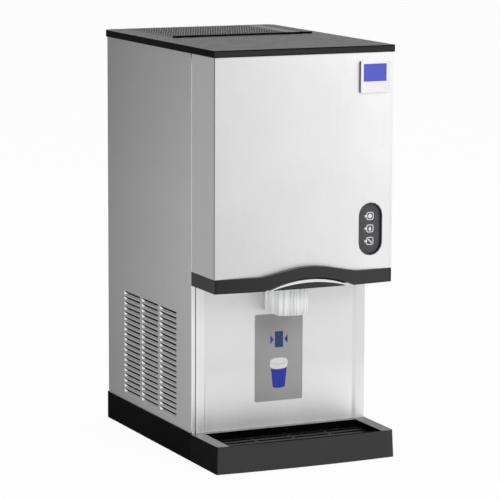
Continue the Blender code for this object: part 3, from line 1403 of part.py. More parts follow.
def bin_lid():
    lid = plate([bin_outline(0)], LID_BASE, LID_BASE + LID_THICKNESS)
    skirt_out = bin_outline(BIN_WALL + RUNNING_GAP)
    skirt_in = bin_outline(BIN_WALL + RUNNING_GAP + TRIM_WALL)
    fuse(lid, plate([skirt_out, skirt_in], LID_BASE - LID_SKIRT, LID_BASE + LID_THICKNESS / 2))
    part(lid, "bin_lid", "foam_white")


def agitator():
    axis = (0, behind(AGITATOR_SETBACK))
    low = BIN_FLOOR_TOP + AGITATOR_LIFT
    top = low + AGITATOR_HUB_HEIGHT
    foot = CRADLE_PLATE_Z - SEAT_GAP - SHAFT_ENTRY + RUNNING_GAP
    hub = AGITATOR_HUB_RADIUS
    profile = [(0, top), (SHAFT_RADIUS, top), (hub, top - hub), (hub, low), (SHAFT_RADIUS, low),
               (SHAFT_RADIUS, foot), (0, foot)]
    shape = turned(profile, axis, steps=20)
    centre = Matrix.Translation((*axis, 0))
    arms = []
    for level, reach in ((low, AGITATOR_RADIUS), (top - hub * 2, AGITATOR_UPPER_RADIUS)):
        for number in range(AGITATOR_ARMS):
            turn = math.tau * (number + (0 if level == low else 0.5)) / AGITATOR_ARMS
            half = AGITATOR_ARM_THICKNESS / 2
            arm = block((hub / 2, reach), (-half, half),
                        (level + half / 4, level + AGITATOR_ARM_HEIGHT))
            arm.data.transform(centre @ Matrix.Rotation(turn, 4, "Z"))
            arms.append(arm)
    fuse(shape, *arms)
    part(shape, "agitator", "white_plastic", smooth=True, pivot=(*axis, low))


def agitator_motor():
    axis = (0, behind(AGITATOR_SETBACK))
    top = CRADLE_PLATE_Z - SEAT_GAP
    foot = top - AGITATOR_MOTOR_HEIGHT
    radius = AGITATOR_MOTOR_RADIUS
    step = AGITATOR_MOTOR_HEIGHT / 5
    profile = [(0, top), (radius, top), (radius, top - step), (radius * 0.9, top - step),
               (radius * 0.9, foot + step / 2), (radius * 0.8, foot), (0, foot)]
    motor = turned(profile, axis)
    cut(motor, rod("Z", axis, SHAFT_RADIUS + RUNNING_GAP, top - SHAFT_ENTRY, top + OVERRUN, sides=20))
    part(motor, "agitator_motor", "motor_black", smooth=True)


def chassis_pan():
    x = (-CHASSIS_LEFT, CHASSIS_RIGHT)
    y = (behind(CHASSIS_FRONT), behind(CHASSIS_BACK))
    pan = block(x, y, (FRAME_FOOT, FRAME_FOOT + CHASSIS_RIM))
    cut(pan, block((x[0] + CHASSIS_SHEET, x[1] - CHASSIS_SHEET), (y[0] + CHASSIS_SHEET, y[1] - CHASSIS_SHEET),
                   (CHASSIS_TOP, FRAME_FOOT + CHASSIS_RIM + OVERRUN)))
    part(pan, "chassis_pan", "galvanised")


def cabinet_frame():
    """Four angle posts, rails between them and a cross rail for the water tank."""
    sheet = POST_SHEET
    shapes = []
    for side in (-1, 1):
        outer = side * (POST_HALF - sheet / 2)
        inner = side * POST_INNER
        for corner, turn in ((POST_FRONT, 1), (POST_BACK, -1)):
            face = behind(corner) + turn * sheet / 2
            path = [(inner, face), (outer, face), (outer, behind(corner) + turn * POST_WIDTH)]
            shapes.append(plate([folded(path, sheet, 0)], FRAME_FOOT, PANEL_TOP))
        wall = sorted((side * POST_HALF, side * (POST_HALF - sheet)))
        for low in (PANEL_TOP - RAIL_HEIGHT, MID_RAIL_Z):
            shapes.append(block((wall[0] + sheet / 5, wall[1] - sheet / 5),
                                (behind(POST_FRONT) + sheet / 2, behind(POST_BACK) - sheet / 2),
                                (low - sheet / 5, low + RAIL_HEIGHT - sheet / 5)))
    cross = POST_HALF - sheet / 2
    for corner, turn, low in ((POST_FRONT, 1, PANEL_TOP - RAIL_HEIGHT), (POST_BACK, -1, REAR_RAIL_Z)):
        face = sorted((behind(corner) + turn * sheet / 5, behind(corner) + turn * sheet * 0.8))
        shapes.append(block((-cross, cross), face, (low - sheet / 5, low + RAIL_HEIGHT - sheet / 5)))
    part(fuse(shapes[0], *shapes[1:]), "cabinet_frame", "galvanised")


def gearmotor():
    x = (MAKER_X - GEARBOX_HALF, MAKER_X + GEARBOX_HALF)
    y = (behind(MAKER_SETBACK - GEARBOX_HALF), behind(MAKER_SETBACK + GEARBOX_HALF))
    motor = block(x, y, (DECK, GEARBOX_TOP))
    soften(motor, GEARBOX_HALF / 10)
    bake(motor)
    axis = (MAKER_X, DECK + DRIVE_HEIGHT)
    fuse(motor, rod("Y", axis, DRIVE_RADIUS, y[0] - DRIVE_LENGTH, y[0] + GEARBOX_HALF))
    cut(motor, rod("Z", (MAKER_X, behind(MAKER_SETBACK)), AUGER_SHAFT + RUNNING_GAP,
                   GEARBOX_TOP - SHAFT_ENTRY, GEARBOX_TOP + OVERRUN))
    part(motor, "gearmotor", "motor_black")


def evaporator():
    axis = (MAKER_X, behind(MAKER_SETBACK))
    body = rod("Z", axis, EVAPORATOR_RADIUS, EVAPORATOR_BASE, EVAPORATOR_TOP)
    reach = EVAPORATOR_RADIUS + PORT_REACH
    ports = [rod("X", (axis[1], height), PORT_RADIUS, axis[0] + EVAPORATOR_BORE + OVERRUN,
                 axis[0] + reach, sides=16) for height in (LIQUID_PORT_Z, WATER_PORT_Z)]
    ports.append(rod("Y", (axis[0], SUCTION_PORT_Z), PORT_RADIUS, axis[1] + EVAPORATOR_BORE + OVERRUN,
                     axis[1] + reach, sides=16))
    fuse(body, *ports)
    cut(body, rod("Z", axis, EVAPORATOR_BORE, EVAPORATOR_BASE - OVERRUN, EVAPORATOR_TOP + OVERRUN))
    part(body, "evaporator", "foam_white", smooth=True)


def auger():
    """Shaft with a helical flight, spun up from one section."""
    axis = (MAKER_X, behind(MAKER_SETBACK))
    low = EVAPORATOR_BASE + RUNNING_GAP * 4
    top = EVAPORATOR_TOP - RUNNING_GAP * 4
    height = top - low - AUGER_FLIGHT * 3
    turns = int(height / AUGER_PITCH)
    steps = turns * 8
    bm = bmesh.new()
    corners = [(AUGER_CORE * 0.8, 0), (AUGER_RADIUS, AUGER_FLIGHT / 4),
               (AUGER_RADIUS, AUGER_FLIGHT * 0.75), (AUGER_CORE * 0.8, AUGER_FLIGHT)]
    section = bm.faces.new([bm.verts.new((radius, 0, rise)) for radius, rise in corners])
    start = bmesh.ops.duplicate(bm, geom=[section])["geom"]
    bmesh.ops.spin(bm, geom=start, cent=(0, 0, 0), axis=(0, 0, 1), angle=math.tau * turns,
                   dvec=(0, 0, AUGER_PITCH * turns / steps), steps=steps)
    bmesh.ops.remove_doubles(bm, verts=bm.verts, dist=WELD)
    flight = object_from(bm, Matrix.Translation((*axis, low + AUGER_FLIGHT)))
    foot = GEARBOX_TOP - SHAFT_ENTRY + RUNNING_GAP
    profile = [(0, top), (AUGER_CORE / 2, top), (AUGER_CORE, top - AUGER_CORE / 2), (AUGER_CORE, low),
               (AUGER_SHAFT, low), (AUGER_SHAFT, foot), (0, foot)]
    shape = turned(profile, axis, steps=20)
    fuse(shape, flight)
    part(shape, "auger", "bright_steel", smooth=True, pivot=(*axis, low))


def ice_head():
    axis = (MAKER_X, behind(MAKER_SETBACK))
    collar = ICE_TUBE_RADIUS + OVERRUN * 2
    step = HEAD_HEIGHT / 4
    profile = [(collar, HEAD_TOP), (collar, HEAD_TOP - step), (EVAPORATOR_RADIUS, HEAD_BASE + step),
               (EVAPORATOR_RADIUS, HEAD_BASE), (EVAPORATOR_BORE, HEAD_BASE),
               (ICE_TUBE_BORE, HEAD_TOP - step), (ICE_TUBE_BORE, HEAD_TOP)]
    part(turned(profile, axis, ring=True), "ice_head", "aluminium", smooth=True)


def ice_tube():
    y = behind(MAKER_SETBACK)
    end = behind(BIN_BACK) - ICE_TUBE_ENTRY
    path = [(MAKER_X, y, HEAD_TOP + SEAT_GAP), (MAKER_X, y, ICE_TUBE_TOP), (MAKER_X, end, ICE_TUBE_TOP)]
    pipe = tube(filleted(path, ICE_TUBE_BEND, steps=5), ICE_TUBE_RADIUS)
    path[0] = (MAKER_X, y, HEAD_TOP - OVERRUN)
    path[2] = (MAKER_X, end - OVERRUN, ICE_TUBE_TOP)
    cut(pipe, tube(filleted(path, ICE_TUBE_BEND, steps=5), ICE_TUBE_BORE))
    part(pipe, "ice_tube", "clear_plastic", smooth=True)


def compressor():
    axis = (COMPRESSOR_X, behind(COMPRESSOR_SETBACK))
    foot = DECK + GROMMET_HEIGHT
    base = foot + COMPRESSOR_PLATE / 2
    top = base + COMPRESSOR_HEIGHT
    radius = COMPRESSOR_RADIUS
    round_off = radius * 0.35
    shoulder = [(radius - round_off + round_off * math.sin(turn),
                 top - round_off + round_off * math.cos(turn))
                for turn in [math.pi / 2 * step / 5 for step in range(6)]]
    seam = base + COMPRESSOR_HEIGHT * 0.62
    rim = radius * 0.96
    profile = [(0, top)] + shoulder + [(radius, seam), (rim, seam - COMPRESSOR_PLATE),
                                       (rim, base + round_off), (radius - round_off, base), (0, base)]
    shell = turned(profile, axis, steps=20)
    plate_x = (axis[0] - COMPRESSOR_PLATE_X, axis[0] + COMPRESSOR_PLATE_X)
    plate_y = (axis[1] - COMPRESSOR_PLATE_Y, axis[1] + COMPRESSOR_PLATE_Y)
    pieces = [block(plate_x, plate_y, (foot, foot + COMPRESSOR_PLATE))]
    for x in (plate_x[0] + GROMMET_INSET, plate_x[1] - GROMMET_INSET):
        for y in (plate_y[0] + GROMMET_INSET, plate_y[1] - GROMMET_INSET):
            pieces.append(rod("Z", (x, y), GROMMET_RADIUS, DECK, foot + COMPRESSOR_PLATE / 2, sides=10))
    for x, setback in (SUCTION_STUB, DISCHARGE_STUB, PROCESS_STUB):
        pieces.append(rod("Z", (x, behind(setback)), STUB_RADIUS, top - round_off * 1.5, STUB_TOP, sides=12))
    fuse(shell, *pieces)
    part(shell, "compressor", "motor_black", smooth=True)


def condenser():
    """Fins on a spine, with return bends at the back and two pipe stubs."""
    middle = (CONDENSER_INNER + CONDENSER_OUTER) / 2
    half = CONDENSER_SPINE / 2
    pitch = (CONDENSER_BACK - CONDENSER_FRONT) / CONDENSER_FINS
    fin = pitch * CONDENSER_FIN_SHARE
    left = []
    right = []
    for index in range(CONDENSER_FINS + 1):
        start = behind(CONDENSER_FRONT) + index * (pitch - fin / CONDENSER_FINS)
        end = start + fin
        right += [(CONDENSER_OUTER, start), (CONDENSER_OUTER, end)]
        left += [(CONDENSER_INNER, start), (CONDENSER_INNER, end)]
        if index < CONDENSER_FINS:
            after = start + pitch - fin / CONDENSER_FINS
            right += [(middle + half, end), (middle + half, after)]
            left += [(middle - half, end), (middle - half, after)]
    core = plate([right + left[::-1]], DECK, CONDENSER_TOP)
    back = behind(CONDENSER_BACK)
    inside = back - fin / 2
    pieces = [rod("Y", (CONDENSER_STUB_X, height), LINE_RADIUS, inside, back + CONDENSER_STUB_REACH, sides=12)
              for height in (CONDENSER_INLET_Z, CONDENSER_OUTLET_Z)]
    loops = []
    first = CONDENSER_OUTLET_Z + RETURN_PITCH * 0.75
    reach = CONDENSER_STUB_REACH
    for index in range(RETURN_BENDS):
        low = first + RETURN_PITCH * index
        high = low + RETURN_PITCH / 2
        corners = [(middle, inside, low), (middle, back + reach, low), (middle, back + reach, high),
                   (middle, inside, high)]
        loops.append(tube(filleted(corners, RETURN_PITCH / 5), RETURN_RADIUS))
    combine(core, pieces + [gather(loops)], "UNION", "MANIFOLD")
    part(core, "condenser", "aluminium")


def fan_shroud():
    hub = (behind(FAN_SETBACK), FAN_Z)
    wall = SHROUD_SHEET
    edge = rectangle((behind(CONDENSER_FRONT), behind(CONDENSER_BACK)), (DECK, CONDENSER_TOP))
    shroud = plate([edge, circle(hub, COLLAR_RADIUS + wall / 2, 30)], SHROUD_FACE, SHROUD_X, "YZ")
    ring = [circle(hub, COLLAR_RADIUS + wall, 30), circle(hub, COLLAR_RADIUS, 30)]
    fuse(shroud, plate(ring, SHROUD_X - wall / 3 - COLLAR_DEPTH, SHROUD_X - wall / 3, "YZ"))
    part(shroud, "fan_shroud", "galvanised")


def fan_motor():
    hub = (behind(FAN_SETBACK), FAN_Z)
    back = FAN_MOTOR_FRONT - FAN_MOTOR_LENGTH
    motor = rod("X", hub, FAN_MOTOR_RADIUS, back, FAN_MOTOR_FRONT)
    span = COLLAR_RADIUS + SHROUD_SHEET + FAN_ARM_CLEARANCE
    foot_end = span + FAN_ARM_THICKNESS
    y = (hub[0] - FAN_ARM_HALF, hub[0] + FAN_ARM_HALF)
    arm_x = (FAN_MOTOR_FRONT - FAN_ARM_THICKNESS * 0.7, FAN_MOTOR_FRONT + FAN_ARM_THICKNESS * 0.3)
    arms = [block(arm_x, y, (FAN_Z - foot_end, FAN_Z + foot_end))]
    for side in (-1, 1):
        z = sorted((FAN_Z + side * span, FAN_Z + side * foot_end * 0.999))
        arms.append(block((arm_x[0] + FAN_ARM_THICKNESS / 5, SHROUD_FACE - SEAT_GAP),
                          (y[0] + FAN_ARM_THICKNESS / 5, y[1] - FAN_ARM_THICKNESS / 5), z))
    fuse(motor, *arms)
    cut(motor, rod("X", hub, FAN_SHAFT_RADIUS + RUNNING_GAP, FAN_MOTOR_FRONT - SHAFT_ENTRY,
                   arm_x[1] + OVERRUN, sides=16))
    part(motor, "fan_motor", "motor_black", smooth=True)


def fan_blade():
    hub = (behind(FAN_SETBACK), FAN_Z)
    shape = rod("X", hub, FAN_HUB_RADIUS, FAN_X - FAN_HUB_HALF, FAN_X + FAN_HUB_HALF)
    shaft = rod("X", hub, FAN_SHAFT_RADIUS, FAN_MOTOR_FRONT - SHAFT_ENTRY + RUNNING_GAP, FAN_X, sides=16)
    place = Matrix.Translation((FAN_X, *hub))
    pitch = Matrix.Rotation(math.radians(FAN_PITCH_DEGREES), 4, "Z")
    blades = []
    for number in range(FAN_BLADES):
        chord = [Vector(place) for place in bow_arc(FAN_HALF_CHORD, FAN_CAMBER, 0, steps=4)]
        section = folded(chord, FAN_BLADE_THICKNESS, 0)
        section = [(y, x) for x, y in section]
        blade = plate([section], FAN_HUB_RADIUS / 2, FAN_RADIUS)
        spin = Matrix.Rotation(math.tau * number / FAN_BLADES, 4, "X")
        blade.data.transform(place @ spin @ pitch)
        blades.append(blade)
    fuse(shape, shaft, *blades)
    part(shape, "fan_blade", "aluminium", smooth=True, pivot=(FAN_X, *hub))


def pipe(name, path, radius, bend, slot):
    """Bent pipe as a piece of its own."""
    part(tube(filleted(path, bend), radius), name, slot, smooth=True)


def refrigerant_lines():
    """Hot gas, capillary and suction pipes."""
    maker_y = behind(MAKER_SETBACK)
    port = EVAPORATOR_RADIUS + PORT_REACH + SEAT_GAP
    stub_top = STUB_TOP + SEAT_GAP
    stub_end = behind(CONDENSER_BACK + CONDENSER_STUB_REACH) + SEAT_GAP
    rear = behind(DISCHARGE_REAR)
    drier_y = behind(DRIER_SETBACK)
    gas_x = DISCHARGE_STUB[0]
    gas_y = behind(DISCHARGE_STUB[1])
    outlet = CONDENSER_OUTLET_Z
    discharge = [(gas_x, gas_y, stub_top), (gas_x, gas_y, DISCHARGE_RISE_Z), (gas_x, rear, DISCHARGE_RISE_Z),
                 (CONDENSER_STUB_X, rear, CONDENSER_INLET_Z), (CONDENSER_STUB_X, stub_end, CONDENSER_INLET_Z)]
    pipe("discharge_line", discharge, LINE_RADIUS, LINE_BEND, "copper")
    capillary = [(DRIER_LEFT - SEAT_GAP, drier_y, outlet), (CAPILLARY_X, drier_y, outlet),
                 (CAPILLARY_X, maker_y, outlet), (CAPILLARY_X, maker_y, LIQUID_PORT_Z),
                 (MAKER_X + port, maker_y, LIQUID_PORT_Z)]
    pipe("capillary_line", capillary, CAPILLARY_RADIUS, LINE_BEND, "copper")
    suction_y = behind(SUCTION_STUB[1])
    suction = [(MAKER_X, maker_y + port, SUCTION_PORT_Z), (SUCTION_STUB[0], suction_y, SUCTION_PORT_Z),
               (SUCTION_STUB[0], suction_y, stub_top)]
    pipe("suction_line", suction, SUCTION_RADIUS, LINE_BEND, "copper")


def filter_drier():
    """Drier with its bracket and the liquid pipe brazed to it."""
    centre = (behind(DRIER_SETBACK), CONDENSER_OUTLET_Z)
    neck = DRIER_RADIUS
    profile = [(0, DRIER_RIGHT), (CAPILLARY_RADIUS * 2, DRIER_RIGHT), (DRIER_RADIUS, DRIER_RIGHT - neck),
               (DRIER_RADIUS, DRIER_LEFT + neck), (CAPILLARY_RADIUS * 2, DRIER_LEFT), (0, DRIER_LEFT)]
    drier = turned(profile, centre, "X", steps=16)
    middle = (DRIER_LEFT + DRIER_RIGHT) / 2
    stub_end = behind(CONDENSER_BACK + CONDENSER_STUB_REACH) + SEAT_GAP
    liquid = [(CONDENSER_STUB_X, stub_end, CONDENSER_OUTLET_Z), (CONDENSER_STUB_X, *centre),
              (DRIER_RIGHT - neck / 2, *centre)]
    fuse(drier, tube(filleted(liquid, LINE_BEND), LINE_RADIUS), block((middle - DRIER_FOOT, middle + DRIER_FOOT),
                      (centre[0] - DRIER_FOOT / 2, centre[0] + DRIER_FOOT / 2),
                      (DECK, CONDENSER_OUTLET_Z - DRIER_RADIUS / 2)))
    part(drier, "filter_drier", "copper", smooth=True)


def float_pivot():
    """Centre of the float's pin."""
    return ((TANK_LEFT + TANK_RIGHT) / 2, behind(TANK_FRONT + TANK_WALL) + LUG_REACH * 0.6,
            TANK_TOP - FLOAT_PIN_DROP)


def water_reservoir():
    x = (TANK_LEFT, TANK_RIGHT)
    y = (behind(TANK_FRONT), behind(TANK_BACK))
    tank = block(x, y, (TANK_BOTTOM, TANK_TOP))
    hollow = block((x[0] + TANK_WALL, x[1] - TANK_WALL), (y[0] + TANK_WALL, y[1] - TANK_WALL),
                   (TANK_BOTTOM + TANK_WALL, TANK_TOP + OVERRUN))
    combine(tank, [hollow], "DIFFERENCE")
    pivot = float_pivot()
    hook_z = REAR_RAIL_Z + RAIL_HEIGHT + SEAT_GAP
    pieces = [block((pivot[0] - TANK_HOOK_HALF, pivot[0] + TANK_HOOK_HALF),
                    (y[1] - TANK_WALL / 2, behind(POST_BACK)), (hook_z, hook_z + TANK_HOOK))]
    for side in (-1, 1):
        near = pivot[0] + side * LUG_SPREAD
        lug_x = sorted((near, near + side * LUG_THICKNESS))
        pieces.append(block(lug_x, (y[0] + TANK_WALL / 2, y[0] + TANK_WALL + LUG_REACH),
                            (pivot[2] - LUG_HEIGHT / 2, pivot[2] + LUG_HEIGHT / 2)))
    fuse(tank, *pieces)
    cut(tank, rod("X", pivot[1:], FLOAT_PIN_RADIUS + RUNNING_GAP, pivot[0] - LUG_SPREAD * 3,
                  pivot[0] + LUG_SPREAD * 3, sides=16))
    part(tank, "water_reservoir", "white_plastic")


def reservoir_float():
    pivot = float_pivot()
    reach = LUG_SPREAD + LUG_THICKNESS
    pin = rod("X", pivot[1:], FLOAT_PIN_RADIUS, pivot[0] - reach, pivot[0] + reach, sides=12)
    centre = (pivot[0], pivot[1] + FLOAT_ARM, pivot[2] - FLOAT_SAG)
    half = FLOAT_ARM_HALF
    arm = plate([folded([pivot[1:], centre[1:]], half * 2, 0)], pivot[0] - half, pivot[0] + half, "YZ")
    boss = rod("X", pivot[1:], half * 1.5, pivot[0] - half * 1.05, pivot[0] + half * 1.05, sides=16)
    fuse(pin, boss, arm, ball(centre, (FLOAT_RADIUS,) * 3))
    part(pin, "reservoir_float", "white_plastic", smooth=True, pivot=pivot)


def water_lines():
    """Supply pipe to the tank and feed pipe from it to the ice maker."""
    fitting_end = behind(CABINET_DEPTH) - FITTING_TAIL - SEAT_GAP
    rise = behind(INLET_RISE_SETBACK)
    supply = [(INLET_X, fitting_end, INLET_Z), (INLET_X, rise, INLET_Z), (INLET_X, rise, INLET_ENTRY_Z),
              (TANK_LEFT - SEAT_GAP, rise, INLET_ENTRY_Z)]
    feed_y = behind(FEED_SETBACK)
    maker_y = behind(MAKER_SETBACK)
    feed = [(FEED_X, feed_y, TANK_BOTTOM - SEAT_GAP), (FEED_X, feed_y, FEED_Z),
            (FEED_DOWN_X, feed_y, FEED_Z), (FEED_DOWN_X, maker_y, FEED_Z),
            (FEED_DOWN_X, maker_y, WATER_PORT_Z),
            (MAKER_X + EVAPORATOR_RADIUS + PORT_REACH + SEAT_GAP, maker_y, WATER_PORT_Z)]
    pipe("water_supply_line", supply, WATER_RADIUS, WATER_BEND, "clear_plastic")
    pipe("water_feed_line", feed, WATER_RADIUS, WATER_BEND, "clear_plastic")


def water_fittings():
    """Supply inlet on the rear panel and drain outlet on the base, as turned bodies."""
    tip = behind(CABINET_DEPTH + FITTING_PROUD)
    tail = behind(CABINET_DEPTH) - FITTING_TAIL
    for name, place, seat in (("water_inlet", (INLET_X, INLET_Z), CABINET_DEPTH + SEAT_GAP + SHEET),
                              ("drain_outlet", (HOSE_X, SPIGOT_HEIGHT), BASE_BACK)):
        face = behind(seat) + SEAT_GAP
        flange = face + FITTING_FLANGE_THICKNESS
        neck = FITTING_RADIUS
        profile = [(0, tip), (neck * 0.8, tip), (neck, tip - neck / 3), (neck, flange),
                   (FITTING_FLANGE, flange), (FITTING_FLANGE, face), (neck, face), (neck, tail), (0, tail)]
        part(turned(profile, place, "Y", steps=14), name, "brass", smooth=True)


def drain_hose():
    start = behind(BASE_FRONT + BASE_WALL + SPIGOT_REACH) + SEAT_GAP
    end = behind(CABINET_DEPTH) - FITTING_TAIL - SEAT_GAP
    points = [(SPIGOT_X, start, SPIGOT_HEIGHT)]
    for step in range(9):
        share = step / 8
        blend = share * share * (3 - 2 * share)
        points.append((SPIGOT_X + (HOSE_X - SPIGOT_X) * blend,
                       start + HOSE_SWING / 6 + HOSE_SWING * share, SPIGOT_HEIGHT))
    points.append((HOSE_X, end, SPIGOT_HEIGHT))
    part(tube(points, HOSE_RADIUS), "drain_hose", "clear_plastic", smooth=True)


def switch_pivot():
    """Centre of the rocker's axis."""
    return (SWITCH_X, behind(BOX_FRONT) + SWITCH_INSET, SWITCH_Z)


def control_box():
    box = block((BOX_LEFT, BOX_RIGHT), (behind(BOX_FRONT), behind(BOX_BACK)), (BOX_BOTTOM, BOX_TOP))
    soften(box, BOX_CORNER)
    pivot = switch_pivot()
    half = SWITCH_HALF_WIDTH + RUNNING_GAP
    tall = SWITCH_HALF_HEIGHT + SWITCH_PLAY
    cut(box, block((pivot[0] - half, pivot[0] + half), (behind(BOX_FRONT) - OVERRUN, pivot[1] + SWITCH_HALF_HEIGHT),
                   (pivot[2] - tall, pivot[2] + tall)))
    part(box, "control_box", "galvanised")


def power_switch():
    pivot = switch_pivot()
    tall = SWITCH_HALF_HEIGHT
    outline = [(-SWITCH_CROWN, tall), (-SWITCH_VALLEY, 0), (-SWITCH_CROWN, -tall),
               (SWITCH_HEEL, -tall * 0.6), (SWITCH_HEEL, tall * 0.6)]
    rocker = plate([outline], pivot[0] - SWITCH_HALF_WIDTH, pivot[0] + SWITCH_HALF_WIDTH, "YZ")
    reach = SWITCH_HALF_WIDTH + RUNNING_GAP - SEAT_GAP / 2
    fuse(rocker, rod("X", (0, 0), SWITCH_HEEL / 2, pivot[0] - reach, pivot[0] + reach, sides=12))
    tilt = Matrix.Rotation(math.radians(-SWITCH_TILT_DEGREES), 4, "X")
    rocker.data.transform(Matrix.Translation((0, *pivot[1:])) @ tilt)
    part(rocker, "power_switch", "motor_black", pivot=pivot)


def power_inlet():
    face = behind(CABINET_DEPTH + SEAT_GAP + SHEET) + SEAT_GAP
    flange = face + GLAND_FLANGE_THICKNESS
    tip = behind(CABINET_DEPTH + FITTING_PROUD)
    tail = behind(CABINET_DEPTH) - GLAND_TAIL
    neck = GLAND_RADIUS
    profile = [(neck * 0.75, tip), (neck * 0.9, flange), (GLAND_FLANGE, flange), (GLAND_FLANGE, face),
               (neck, face), (neck, tail), (GLAND_BORE, tail), (GLAND_BORE, tip)]
    part(turned(profile, (GLAND_X, GLAND_Z), "Y", steps=16, ring=True), "power_inlet", "black_plastic", smooth=True)


base_pan()
drip_tray()
drip_grille()
splash_panel()
splash_label()
sensor()
louvred_side_panel(-1, "left_side_panel")
louvred_side_panel(1, "right_side_panel")
rear_panel()
hood_wing(-1, "left_hood_wing")
hood_wing(1, "right_hood_wing")
front_panel()
front_trim()
accents()
side_trim(-1, "left_side_trim")
side_trim(1, "right_side_trim")
control_pod()
badge()
top_cover()
intake_grille()
nozzle()
hood_floor()
dispense_chute()
dispense_gate()
solenoid()
bin_cradle()
ice_bin()
bin_lid()
agitator()
agitator_motor()
chassis_pan()
cabinet_frame()
gearmotor()
evaporator()
auger()
ice_head()
ice_tube()
compressor()
condenser()
fan_shroud()
fan_motor()
fan_blade()
refrigerant_lines()
filter_drier()
water_reservoir()
reservoir_float()
water_lines()
water_fittings()
drain_hose()
control_box()
power_switch()
power_inlet()
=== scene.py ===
# %% [markdown]
# # A countertop ice dispenser, dressed for a product photograph
# The engineered model is loaded first. It brings every solid of the machine, and it is never
# moved or reshaped here. What this lesson adds is what a camera sees: finishes, and finer pieces
# where the solid is too coarse for a close look.

# %% Load the machine
import json
import math

import bmesh
import bpy
from mathutils import Matrix, Vector


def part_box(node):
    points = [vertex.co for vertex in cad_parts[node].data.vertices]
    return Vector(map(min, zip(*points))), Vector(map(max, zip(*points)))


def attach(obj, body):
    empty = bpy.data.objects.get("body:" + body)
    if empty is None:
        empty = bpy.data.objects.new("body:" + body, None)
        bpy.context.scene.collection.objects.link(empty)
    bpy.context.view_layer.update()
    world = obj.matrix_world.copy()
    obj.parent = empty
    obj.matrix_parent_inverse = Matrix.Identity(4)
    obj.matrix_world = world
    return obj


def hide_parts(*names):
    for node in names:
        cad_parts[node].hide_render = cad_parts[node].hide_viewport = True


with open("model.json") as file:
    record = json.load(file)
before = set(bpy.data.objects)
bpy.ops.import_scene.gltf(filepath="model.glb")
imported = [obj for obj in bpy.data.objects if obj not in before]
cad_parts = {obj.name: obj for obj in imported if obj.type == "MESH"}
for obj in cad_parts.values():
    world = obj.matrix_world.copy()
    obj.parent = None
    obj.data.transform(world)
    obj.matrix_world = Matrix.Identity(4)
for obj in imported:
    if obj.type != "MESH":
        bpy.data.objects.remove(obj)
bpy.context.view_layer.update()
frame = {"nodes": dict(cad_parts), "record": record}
nodes = frame["nodes"]

# %% [markdown]
# ## The camera
# The photograph was taken from far away with a long lens, which keeps the cabinet's edges almost
# parallel. The place and the lens come from matching the cabinet's corners, so the picture is
# the photograph's own view. The lens has no shift, so other views need no correction.

# %% Photograph's camera
CAMERA_PLACE = Vector((-2.482, -5.40935, 1.3693))
CAMERA_YAW = math.radians(-24.748)
CAMERA_PITCH = math.radians(90 - 9.068)
CAMERA_ROLL = math.radians(0.208)
LENS = 196.88
SENSOR_WIDTH = 36
FAR_LIMIT = 200


def placed(name, data):
    """An object of the scene."""
    made = bpy.data.objects.new(name, data)
    bpy.context.scene.collection.objects.link(made)
    return made


camera = placed("camera", bpy.data.cameras.new("camera"))
camera.data.lens = LENS
camera.data.sensor_width = SENSOR_WIDTH
camera.data.clip_end = FAR_LIMIT
camera.matrix_world = (Matrix.Translation(CAMERA_PLACE) @ Matrix.Rotation(CAMERA_YAW, 4, "Z")
                       @ Matrix.Rotation(CAMERA_PITCH, 4, "X") @ Matrix.Rotation(CAMERA_ROLL, 4, "Z"))
bpy.context.scene.camera = camera
bpy.context.scene.view_settings.view_transform = "Standard"
print("camera at", tuple(round(value, 3) for value in CAMERA_PLACE), "lens", LENS)

# %% [markdown]
# ## Studio
# Brushed metal shows the room, so the room matters more than the lamps. The world is white where
# the camera, a reflection or clear plastic looks at it, and dimmer for the light that falls on matt
# surfaces. Two large soft lamps, one in front and one above, model the form, and the pale floor
# keeps a soft shadow.


# %% Colours and nodes
def seen(red, green, blue):
    """Linear colour for a shader, from the 0 to 255 values that a photograph shows."""
    def linear(channel):
        channel /= 255
        return channel / 12.92 if channel <= 0.04045 else ((channel + 0.055) / 1.055) ** 2.4
    return (linear(red), linear(green), linear(blue), 1)


def grey(level):
    """Grey as it is seen on screen."""
    return seen(level, level, level)


def grey_share(value):
    """Grey as a share of light."""
    return (value, value, value, 1)


def add_node(tree, kind, feeds=(), **values):
    """A node whose sockets are fed by links or by values."""
    made = tree.nodes.new(kind)
    for name, value in values.items():
        setattr(made, name, value)
    for socket, source in dict(feeds).items():
        if isinstance(source, bpy.types.NodeSocket):
            tree.links.new(source, made.inputs[socket])
        else:
            made.inputs[socket].default_value = source
    return made


def maths(tree, operation, *values):
    """What a Math node makes of its values."""
    return add_node(tree, "ShaderNodeMath", dict(enumerate(values)), operation=operation).outputs[0]


def looked_at(tree, *kinds):
    """1 where a ray of one of these kinds arrives, 0 for the light that falls."""
    rays = add_node(tree, "ShaderNodeLightPath").outputs
    share = rays[kinds[0]]
    for kind in kinds[1:]:
        share = maths(tree, "MAXIMUM", share, rays[kind])
    return share


# %% World that is white to the eye and softer as light
SKY_LIGHT = 0.55
EYE = ("Is Camera Ray", "Is Glossy Ray")

world = bpy.data.worlds.new("studio")
world.use_nodes = True
bpy.context.scene.world = world
sky = world.node_tree
sky.nodes.clear()
level = add_node(sky, "ShaderNodeMapRange", {
    "Value": looked_at(sky, *EYE, "Is Transmission Ray"), "To Min": SKY_LIGHT, "To Max": 1})
background = add_node(sky, "ShaderNodeBackground", {
    "Color": grey_share(1), "Strength": level.outputs["Result"]})
add_node(sky, "ShaderNodeOutputWorld", {"Surface": background.outputs[0]})

# %% Soft lamps
MIDDLE = Vector((0, 0, 0.45))


